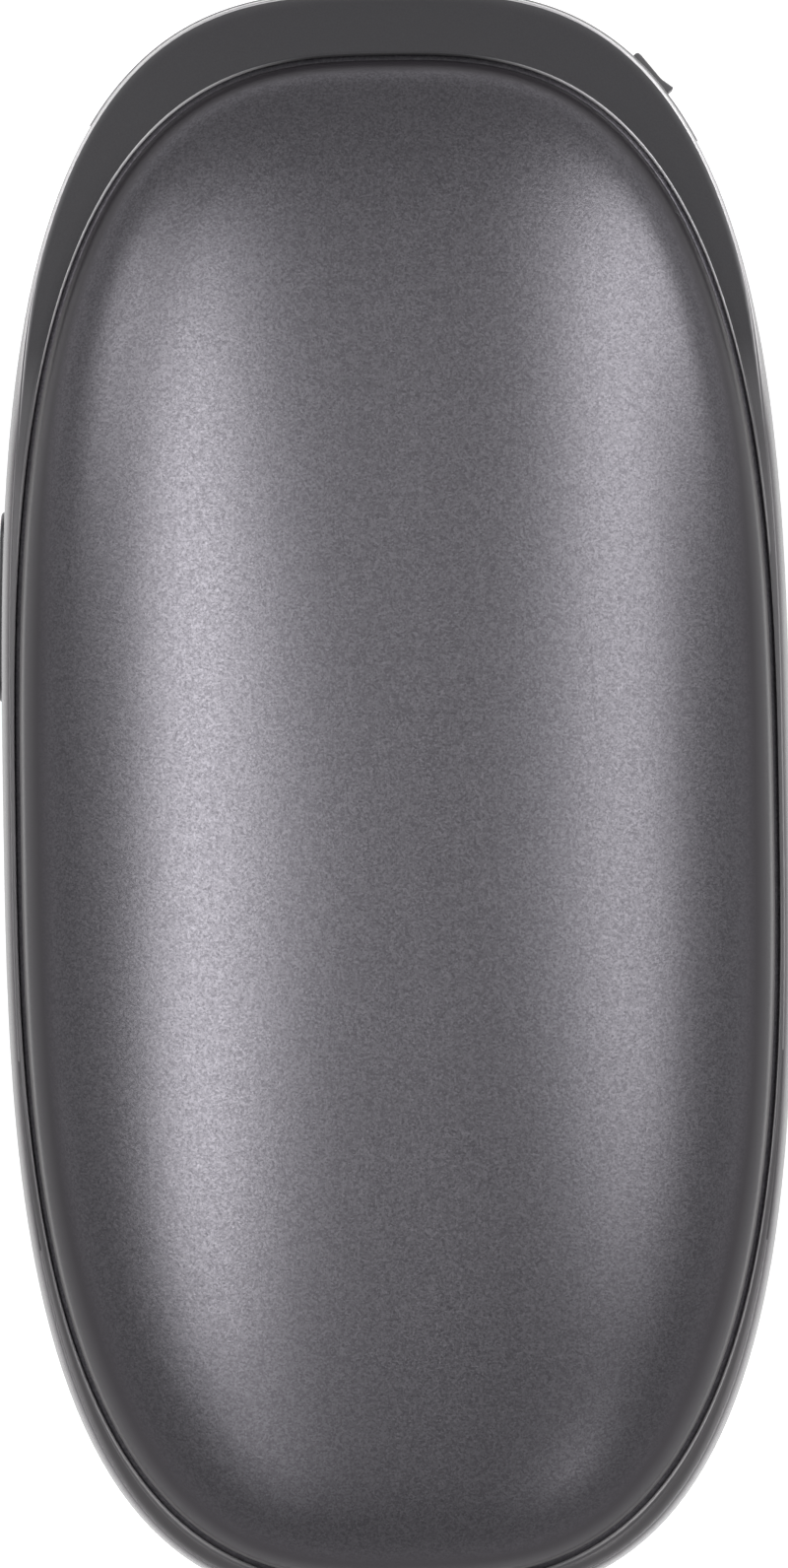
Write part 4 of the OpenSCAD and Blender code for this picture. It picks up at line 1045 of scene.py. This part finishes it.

# %% [markdown]
# The side and the lip lean opposite ways: the side's normal points away from the body's middle and
# the lip's towards it, which tells them apart. On the side the colour is a painted reflection:
# palest at the upper part of the port end, mid grey along the sides, and lighter low down at the
# heel. On the lip it is a painted highlight, left dark in the middle of both ends, where the
# photograph shows a dark edge, and coming in towards the sides.

# %% Painted light on the band
level_place = add(tree, "ShaderNodeVectorMath", {"operation": "MULTIPLY"}, {
    0: place, 1: (1.0, 1.0, 0.0)}).outputs["Vector"]
facing = add(tree, "ShaderNodeVectorMath", {"operation": "DOT_PRODUCT"}, {
    0: level_place, 1: add(tree, "ShaderNodeTexCoord").outputs["Normal"]}).outputs["Value"]
outward = add(tree, "ShaderNodeMath", {"operation": "GREATER_THAN"}, {0: facing, 1: 0.0})
port_end = add(tree, "ShaderNodeMapRange", SMOOTH, {
    "Value": spot.outputs["Y"], "From Min": 25 * MM, "From Max": 38 * MM})
upper_part = add(tree, "ShaderNodeMapRange", inputs={
    "Value": steepness, "From Min": 0.15, "From Max": 0.4})
port_share = add(tree, "ShaderNodeMath", {"operation": "MULTIPLY"}, {
    0: port_end.outputs["Result"], 1: upper_part.outputs["Result"]})
# painted reflection on the side: pale at the upper port end, mid grey along the sides
painted_side_light = add(tree, "ShaderNodeMix", COLOURS, {
    "Factor": port_share.outputs[0], "A": linear("#636163"), "B": linear("#dcdadc")})
heel_end = add(tree, "ShaderNodeMapRange", SMOOTH, {
    "Value": spot.outputs["Y"], "From Min": -22 * MM, "From Max": -50 * MM})
lower_part = add(tree, "ShaderNodeMapRange", inputs={
    "Value": steepness, "From Min": 0.85, "From Max": 0.4})
heel_share = add(tree, "ShaderNodeMath", {"operation": "MULTIPLY"}, {
    0: heel_end.outputs["Result"], 1: lower_part.outputs["Result"]})
# painted light: the side is painted lighter low down at the heel
painted_outer_light = add(tree, "ShaderNodeMix", COLOURS, {
    "Factor": heel_share.outputs[0], "A": painted_side_light.outputs["Result"], "B": linear("#858385")})
across = add(tree, "ShaderNodeMath", {"operation": "ABSOLUTE"}, {0: spot.outputs["X"]})
off_middle = add(tree, "ShaderNodeMapRange", SMOOTH, {
    "Value": across.outputs[0], "From Min": 5 * MM, "From Max": 19 * MM})
# painted highlight on the lip, left dark in the middle of both ends
painted_lip_highlight = add(tree, "ShaderNodeMix", COLOURS, {
    "Factor": port_end.outputs["Result"], "A": linear("#a3a1a3"), "B": linear("#f2f0f2")})
painted_lip_light_and_shade = add(tree, "ShaderNodeMix", COLOURS, {
    "Factor": off_middle.outputs["Result"], "A": linear("#4a494b"),
    "B": painted_lip_highlight.outputs["Result"]})
# side and lip each get their own painted light
painted_band_light = add(tree, "ShaderNodeMix", COLOURS, {
    "Factor": outward.outputs[0], "A": painted_lip_light_and_shade.outputs["Result"], "B": painted_outer_light.outputs["Result"]})
print("nodes for the band's tones:", len(tree.nodes))

# %% [markdown]
# The blasted face has pits about a tenth of a millimetre wide. They vary its dark grey a little
# and lift the surface by a hundredth of a millimetre. Where the band is sprayed it turns into a
# half-metallic, smoother surface, with the painted light above as its colour.

# %% Pits and gloss of the band
pits = add(tree, "ShaderNodeTexNoise", inputs={
    "Vector": place, "Scale": per_mm(0.12), "Detail": 2.0, "Roughness": 0.55})
bare = add(tree, "ShaderNodeMix", COLOURS, {
    "Factor": pits.outputs["Fac"], "A": linear("#28272a"), "B": linear("#363538")})
# bare plastic where unsprayed, painted light where sprayed
band_tone = add(tree, "ShaderNodeMix", COLOURS, {
    "Factor": sprayed.outputs[0], "A": bare.outputs["Result"], "B": painted_band_light.outputs["Result"]})
tree.links.new(band_tone.outputs["Result"], shader.inputs["Base Color"])
shine = add(tree, "ShaderNodeMapRange", inputs={
    "Value": sprayed.outputs[0], "To Min": 0.0, "To Max": 0.5})
tree.links.new(shine.outputs["Result"], shader.inputs["Metallic"])
satin = add(tree, "ShaderNodeMapRange", inputs={
    "Value": sprayed.outputs[0], "To Min": 0.5, "To Max": 0.26})
tree.links.new(satin.outputs["Result"], shader.inputs["Roughness"])
bump = add(tree, "ShaderNodeBump", inputs={
    "Height": pits.outputs["Fac"], "Strength": 0.4, "Distance": 0.012 * MM})
tree.links.new(bump.outputs["Normal"], shader.inputs["Normal"])
print("band finish nodes:", len(tree.nodes))

# %% [markdown]
# ## Metals
#
# The pins and screws are zinc-plated steel, the sockets are pressed from bright tinned sheet, the
# contacts are gold over nickel, and the cells' links are rolled nickel strip. A metal has no body
# colour under its shine, so the tint goes into the base colour with full metallic. Drawing and
# rolling leave fine lines along the metal, so the noise is stretched along one axis for those.

# %% Plated and rolled metal
def metal(name, tint, roughness, line=(1, 1, 1), line_size=0.08, depth=0.004):
    material, tree, shader, place = new_material(name, {"Metallic": 1.0})
    stretch = add(tree, "ShaderNodeMapping", inputs={"Vector": place, "Scale": line})
    lines = add(tree, "ShaderNodeTexNoise", inputs={
        "Vector": stretch.outputs["Vector"], "Scale": per_mm(line_size), "Detail": 2.0})
    dull = add(tree, "ShaderNodeMapRange", inputs={
        "Value": lines.outputs["Fac"], "From Min": 0.3, "From Max": 0.7,
        "To Min": roughness * 0.8, "To Max": roughness * 1.25})
    shader.inputs["Base Color"].default_value = linear(tint)
    tree.links.new(dull.outputs["Result"], shader.inputs["Roughness"])
    bump = add(tree, "ShaderNodeBump", inputs={
        "Height": lines.outputs["Fac"], "Strength": 0.5, "Distance": depth * MM})
    tree.links.new(bump.outputs["Normal"], shader.inputs["Normal"])
    return material


steel_pin = metal("steel_wire_drawn", "#c3c4c6", 0.24, (1, 1, 0.08))
steel_screw = metal("steel_screw_zinc_plated", "#bfc2c4", 0.3)
tin_sheet = metal("steel_sheet_tinned_pressed", "#c9ccd0", 0.2, (1, 0.1, 1))
gold_contact = metal("copper_contact_gold_plated", "#e2bd6b", 0.22, (1, 0.1, 1))
nickel_sheet = metal("nickel_strip_rolled", "#c2bfb6", 0.34, (0.1, 1, 1))
print("metals:", [m.name for m in (steel_pin, steel_screw, tin_sheet, gold_contact, nickel_sheet)])

# %% [markdown]
# ## The circuit board and its parts
#
# The board is glass-cloth laminate under green solder mask. The mask is a glossy film, and copper
# tracks under it show as slightly lighter, slightly raised lines. A Voronoi pattern measured to
# its cell borders gives lines that branch like tracks, and the same value drives both the tint and
# the bump. The parts on the board get their own finishes: moulded epoxy for the chips, pressed
# ferrite for the coil's case and fired ceramic for the capacitors.

# %% Board and electronic parts
TRACK_PITCH = 2.2
board_mask, tree, shader, place = new_material("fr4_laminate_solder_masked", {
    "Roughness": 0.28, "IOR": 1.52, "Coat Weight": 0.4, "Coat Roughness": 0.12})
tracks = add(tree, "ShaderNodeTexVoronoi", {"feature": "DISTANCE_TO_EDGE"}, {
    "Vector": place, "Scale": per_mm(TRACK_PITCH), "Randomness": 0.6})
track = add(tree, "ShaderNodeMapRange", inputs={
    "Value": tracks.outputs["Distance"], "From Min": 0.06, "From Max": 0.09,
    "To Min": 1.0, "To Max": 0.0})
mask = add(tree, "ShaderNodeMix", COLOURS, {
    "Factor": track.outputs["Result"], "A": linear("#10492a"), "B": linear("#1f6b40")})
tree.links.new(mask.outputs["Result"], shader.inputs["Base Color"])
raise_track = add(tree, "ShaderNodeBump", inputs={
    "Height": track.outputs["Result"], "Strength": 0.6, "Distance": 0.035 * MM})
tree.links.new(raise_track.outputs["Normal"], shader.inputs["Normal"])
chip_epoxy = moulded("epoxy_package_moulded", "#1b1c1e", "#232427", 0.5, 0.08, 0.02)
ferrite = moulded("ferrite_pressed", "#38393d", "#45464b", 0.62, 0.12, 0.04)
ceramic = moulded("ceramic_fired", "#9a7148", "#ab8158", 0.4, 0.15, 0.01)
lamp_resin = moulded("lamp_resin_cast", "#efe9d2", "#f6f1de", 0.22, 0.3, 0.005,
                     {"Subsurface Weight": 0.3, "Subsurface Scale": 0.3 * MM})
print("board track pitch in mm:", TRACK_PITCH)

# %% [markdown]
# ## Clear, soft and wrapped pieces
#
# The light pipe is clear acrylic with frosted tips, so it transmits light but blurs it. Each cell
# is a steel can in a shrunk plastic sleeve, thin and slightly wrinkled. The heating films are
# amber polyimide with an etched track that winds to and fro under the surface, and the pads that
# press them to the shells are closed-cell foam, whose cut face shows small round cells.
#
# At a scale of 1 the wave pattern repeats every tau / 20 units, which gives the factor in the
# film's scale. A real track winds closer; it is drawn at a pitch of 10 mm, coarse enough to show.

# %% Acrylic, sleeve, film, foam and wires
WINDING_PITCH = 3.2 * math.pi
FOAM_CELL = 0.5
acrylic = moulded("acrylic_moulded_frosted", "#e8edf0", "#eff3f5", 0.3, 0.1, 0.01,
                  {"Transmission Weight": 0.75})
sleeve = moulded("pvc_sleeve_shrunk", "#2a6da6", "#2f78b4", 0.3, 1.6, 0.03,
                 {"Coat Weight": 0.25, "Coat Roughness": 0.2})
film, tree, shader, place = new_material("polyimide_film_etched", {
    "Roughness": 0.26, "IOR": 1.7, "Coat Weight": 0.3, "Coat Roughness": 0.15})
winding = add(tree, "ShaderNodeTexWave", {"bands_direction": "Y", "wave_profile": "TRI"}, {
    "Vector": place, "Scale": per_mm(20 * WINDING_PITCH / math.tau), "Distortion": 0.0})
line = add(tree, "ShaderNodeMapRange", inputs={
    "Value": winding.outputs["Fac"], "From Min": 0.4, "From Max": 0.5})
amber = add(tree, "ShaderNodeMix", COLOURS, {
    "Factor": line.outputs["Result"], "A": linear("#b8681c"), "B": linear("#8c4a16")})
tree.links.new(amber.outputs["Result"], shader.inputs["Base Color"])
foam, tree, shader, place = new_material("polyethylene_foam_cut", {"Roughness": 0.9, "IOR": 1.5})
cells = add(tree, "ShaderNodeTexVoronoi", {"feature": "F1"}, {
    "Vector": place, "Scale": per_mm(FOAM_CELL)})
cell_tone = add(tree, "ShaderNodeMix", COLOURS, {
    "Factor": cells.outputs["Distance"], "A": linear("#7c7f85"), "B": linear("#9a9da3")})
tree.links.new(cell_tone.outputs["Result"], shader.inputs["Base Color"])
hollow = add(tree, "ShaderNodeBump", inputs={
    "Height": cells.outputs["Distance"], "Strength": 0.7, "Distance": 0.12 * MM})
tree.links.new(hollow.outputs["Normal"], shader.inputs["Normal"])
red_wire = moulded("silicone_wire_red_extruded", "#9c1f24", "#a8282c", 0.42, 0.2, 0.01)
black_wire = moulded("silicone_wire_black_extruded", "#222226", "#2a2a2e", 0.42, 0.2, 0.01)
white_wire = moulded("silicone_wire_white_extruded", "#d2ccbc", "#dcd6c8", 0.42, 0.2, 0.01)
print("winding pitch and foam cell in mm:", round(WINDING_PITCH, 1), FOAM_CELL)

# %% [markdown]
# ## Dressing every piece
#
# New pieces get their finish directly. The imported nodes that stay, which are the pieces inside,
# keep their shape and get a finish for their material slot, smooth shading where they are round,
# and a small bevel where the real piece has a broken edge. A bevel is a modifier, so the packed
# mesh under it stays as it was.

# %% Finishes by piece
def dress(obj, material):
    obj.data.materials.clear()
    obj.data.materials.append(material)


for piece, material in ((rear_skin, shell_paint), (front_skin, shell_paint), (band, band_abs),
                        (plate, plate_abs), (knob, knob_abs), (button, button_abs),
                        (tongue_a, contact_resin), (tongue_c, contact_resin),
                        (contacts_a, gold_contact), (contacts_c, gold_contact),
                        *[(pin, steel_pin) for pin in pins]):
    dress(piece, material)

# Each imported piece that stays, with its finish and the width of its broken edge in millimetres
inside = {
    "usb_a_shell": (tin_sheet, 0.06), "usb_c_shell": (tin_sheet, 0.06),
    "main_board": (board_mask, 0.08), "button_board": (board_mask, 0.08),
    "board_screws": (steel_screw, 0.06), "holder_screws": (steel_screw, 0.06),
    "control_chips": (chip_epoxy, 0.08), "power_inductor": (ferrite, 0.2),
    "filter_capacitors": (ceramic, 0.12), "indicator_leds": (lamp_resin, 0.05),
    "light_pipe": (acrylic, 0.1), "cell_left": (sleeve, 0.5), "cell_right": (sleeve, 0.5),
    "cell_holder": (cradle_abs, 0.12), "nickel_strips": (nickel_sheet, 0.0),
    "rear_heater": (film, 0.0), "front_heater": (film, 0.0),
    "rear_foam": (foam, 0.0), "front_foam": (foam, 0.0), "thermistors": (chip_epoxy, 0.15),
    "switch_body": (switch_case, 0.1), "switch_lever": (nylon, 0.08),
    "button_dome": (steel_screw, 0.1), "button_switch": (chip_epoxy, 0.12),
    "cell_lead_positive": (red_wire, 0.0), "cell_lead_negative": (black_wire, 0.0),
    "button_lead": (white_wire, 0.0), "heater_lead_rear": (white_wire, 0.0),
    "heater_lead_front": (white_wire, 0.0)}
for name, (material, edge) in inside.items():
    node = nodes[name]
    dress(node, material)
    shade(node, 32)
    if edge:
        bevel = node.modifiers.new("broken_edge", "BEVEL")
        bevel.width = edge * MM
        bevel.segments = 2
        bevel.limit_method = "ANGLE"
        bevel.angle_limit = math.radians(40)
undressed = sorted(n for n in nodes if n not in inside and not nodes[n].hide_render)
print("pieces inside dressed:", len(inside), "left bare:", undressed)

# %% [markdown]
# ## Floor
#
# The photograph has a pure white ground with a soft grey shadow below the warmer on the right. A
# lit white floor alone never renders as pure white without burning out the object, so the floor
# adds light of its own, but only as the camera, a mirror or a glass sees it. What is left of the
# lamps' light on it still falls off under the object, and that is the shadow.

# %% Floor
FLOOR_HALF = 3.0
FLOOR_GLOW = 0.57
corners = [(x * FLOOR_HALF, y * FLOOR_HALF, 0) for x, y in ((-1, -1), (1, -1), (1, 1), (-1, 1))]
floor_mesh = bpy.data.meshes.new("floor")
floor_mesh.from_pydata(corners, [], [(0, 1, 2, 3)])
floor = bpy.data.objects.new("floor", floor_mesh)
bpy.context.scene.collection.objects.link(floor)
paper = bpy.data.materials.new("white_card_matt")
paper.use_nodes = True
tree = paper.node_tree
tree.nodes.clear()
card = add(tree, "ShaderNodeBsdfDiffuse", inputs={"Color": linear("#e8e8e8")})
path = add(tree, "ShaderNodeLightPath").outputs
seen = add(tree, "ShaderNodeMath", {"operation": "ADD"}, {
    0: path["Is Camera Ray"], 1: path["Is Glossy Ray"]})
seen_all = add(tree, "ShaderNodeMath", {"operation": "ADD", "use_clamp": True}, {
    0: seen.outputs["Value"], 1: path["Is Transmission Ray"]})
lift = add(tree, "ShaderNodeMath", {"operation": "MULTIPLY"}, {
    0: seen_all.outputs["Value"], 1: FLOOR_GLOW})
glow = add(tree, "ShaderNodeEmission", inputs={
    "Color": (1, 1, 1, 1), "Strength": lift.outputs["Value"]})
both = add(tree, "ShaderNodeAddShader", inputs={
    0: card.outputs["BSDF"], 1: glow.outputs["Emission"]})
add(tree, "ShaderNodeOutputMaterial", inputs={"Surface": both.outputs["Shader"]})
dress(floor, paper)
print("floor width in m:", 2 * FLOOR_HALF)

# %% [markdown]
# ## Surroundings
#
# The studio round the warmer is a plain grey world without colour, in three parts. Most of it has
# one middle level. Straight overhead and beyond the heel it is darker, which keeps the middle of
# the shell dark between its two highlights. Near the horizon it is much lighter on the heel's
# side, so that the steep edge there mirrors a pale wall, as it does in the photograph.

# %% World
WORLD_LEVEL, OVERHEAD_LEVEL, HORIZON_LEVEL = 0.33, 0.1, 1.1
world = bpy.data.worlds.new("studio")
bpy.context.scene.world = world
world.use_nodes = True
tree = world.node_tree
tree.nodes.clear()
heading = add(tree, "ShaderNodeTexCoord").outputs["Generated"]
parts = add(tree, "ShaderNodeSeparateXYZ", inputs={"Vector": heading})
low = add(tree, "ShaderNodeMapRange", SMOOTH, {
    "Value": parts.outputs["Z"], "From Min": 0.36, "From Max": 0.1})
heel_side = add(tree, "ShaderNodeMapRange", inputs={
    "Value": parts.outputs["Y"], "From Min": 0.3, "From Max": -0.8, "To Min": 0.1, "To Max": 1.4})
ring = add(tree, "ShaderNodeMath", {"operation": "MULTIPLY"}, {
    0: low.outputs["Result"], 1: heel_side.outputs["Result"]})
overhead = add(tree, "ShaderNodeMapRange", SMOOTH, {
    "Value": parts.outputs["Z"], "From Min": 0.6, "From Max": 1.0,
    "To Min": WORLD_LEVEL, "To Max": OVERHEAD_LEVEL})
beyond_heel = add(tree, "ShaderNodeMapRange", SMOOTH, {
    "Value": parts.outputs["Y"], "From Min": -0.12, "From Max": -0.5,
    "To Min": 1.0, "To Max": 0.52})
ceiling = add(tree, "ShaderNodeMath", {"operation": "MULTIPLY"}, {
    0: overhead.outputs["Result"], 1: beyond_heel.outputs["Result"]})
level = add(tree, "ShaderNodeMapRange", inputs={
    "Value": ring.outputs[0], "To Min": ceiling.outputs[0], "To Max": HORIZON_LEVEL})
sky = add(tree, "ShaderNodeBackground", inputs={
    "Color": (1, 1, 1, 1), "Strength": level.outputs["Result"]})
add(tree, "ShaderNodeOutputWorld", inputs={"Surface": sky.outputs["Background"]})
print("world levels:", WORLD_LEVEL, OVERHEAD_LEVEL, HORIZON_LEVEL)

# %% [markdown]
# ## Lamps
#
# Two long softboxes give the shell its two upright highlights. A dome reflects a lamp where its
# surface leans half-way between the camera and the lamp. In the photograph the left highlight
# lies where the shell leans about 10 degrees, so that lamp stands about 20 degrees off the
# vertical, and the right one a little further.
#
# A shorter box over the middle of each makes the highlight strongest there. Two boxes further out
# at the port end spread the highlights towards the shoulders, and two small ones past the heel
# carry them down to the bottom. The left lamps are the stronger, and so the soft shadow falls to
# the right.

# %% Softboxes
def softbox(name, degrees, distance, width, length, shift_y, radiance):
    lamp = bpy.data.lights.new(name, "AREA")
    lamp.shape = "RECTANGLE"
    lamp.size, lamp.size_y = width, length
    lamp.energy = radiance * math.pi * width * length
    obj = bpy.data.objects.new(name, lamp)
    turn = math.radians(degrees)
    obj.location = (distance * math.sin(turn), shift_y, MIDDLE_Z + distance * math.cos(turn))
    obj.rotation_euler = (0, turn, 0)
    obj.visible_camera = False
    bpy.context.scene.collection.objects.link(obj)


# Degrees off the vertical, distance, width, length and place along the body in metres, radiance
LAMPS = {
    "softbox_left": (-21, 1.1, 0.28, 0.96, 0.06, 4.2),
    "softbox_left_middle": (-19.5, 1.09, 0.26, 0.62, 0.0, 4.0),
    "softbox_right": (26, 1.1, 0.34, 0.86, 0.17, 3.0),
    "softbox_right_middle": (24, 1.09, 0.26, 0.62, 0.15, 2.4),
    "softbox_right_top": (47, 1.12, 0.6, 0.5, 0.52, 4.2),
    "softbox_left_top": (-45, 1.12, 0.4, 0.4, 0.42, 3.3),
    "softbox_left_heel": (-15.5, 1.15, 0.13, 0.4, -0.7, 4.8),
    "softbox_right_heel": (24, 1.15, 0.22, 0.4, -0.85, 2.9)}
for name, setting in LAMPS.items():
    softbox(name, *setting)
print("lamps:", len(LAMPS))

# %% [markdown]
# ## Camera
#
# The photograph looks straight down on the rear shell with a long lens. Its frame is a little
# smaller than the body, so the body is cropped on all four sides, and the body is turned by a
# little under one degree. One picture element is 0.0726 mm at the body's middle, and the body's
# middle lies 403 elements from the left and 809.6 from the top. From these the camera's distance
# gives its focal length.

# %% Camera
PICTURE_WIDTH, PICTURE_HEIGHT = 800, 1591
BODY_X, BODY_Y = 403.0, 809.6
ELEMENT = 0.07256 * MM
SENSOR = 36
DISTANCE = 0.9
TURN = math.radians(0.88)
across = Vector((math.cos(TURN), -math.sin(TURN), 0))
upward = Vector((math.sin(TURN), math.cos(TURN), 0))
centre_x, centre_y = BODY_X - PICTURE_WIDTH / 2, PICTURE_HEIGHT / 2 - BODY_Y
camera_data = bpy.data.cameras.new("camera")
camera_data.sensor_fit = "AUTO"
camera_data.sensor_width = SENSOR
camera_data.lens = SENSOR * DISTANCE / (PICTURE_HEIGHT * ELEMENT)
camera_data.clip_start, camera_data.clip_end = 0.05, 20
camera = bpy.data.objects.new("camera", camera_data)
bpy.context.scene.collection.objects.link(camera)
aim = -centre_x * ELEMENT * across - centre_y * ELEMENT * upward
camera.location = (aim.x, aim.y, MIDDLE_Z + DISTANCE)
camera.rotation_euler = (0, 0, -TURN)
bpy.context.scene.camera = camera
bpy.context.scene.view_settings.view_transform = "Standard"
print("focal length in mm:", round(camera_data.lens, 1))
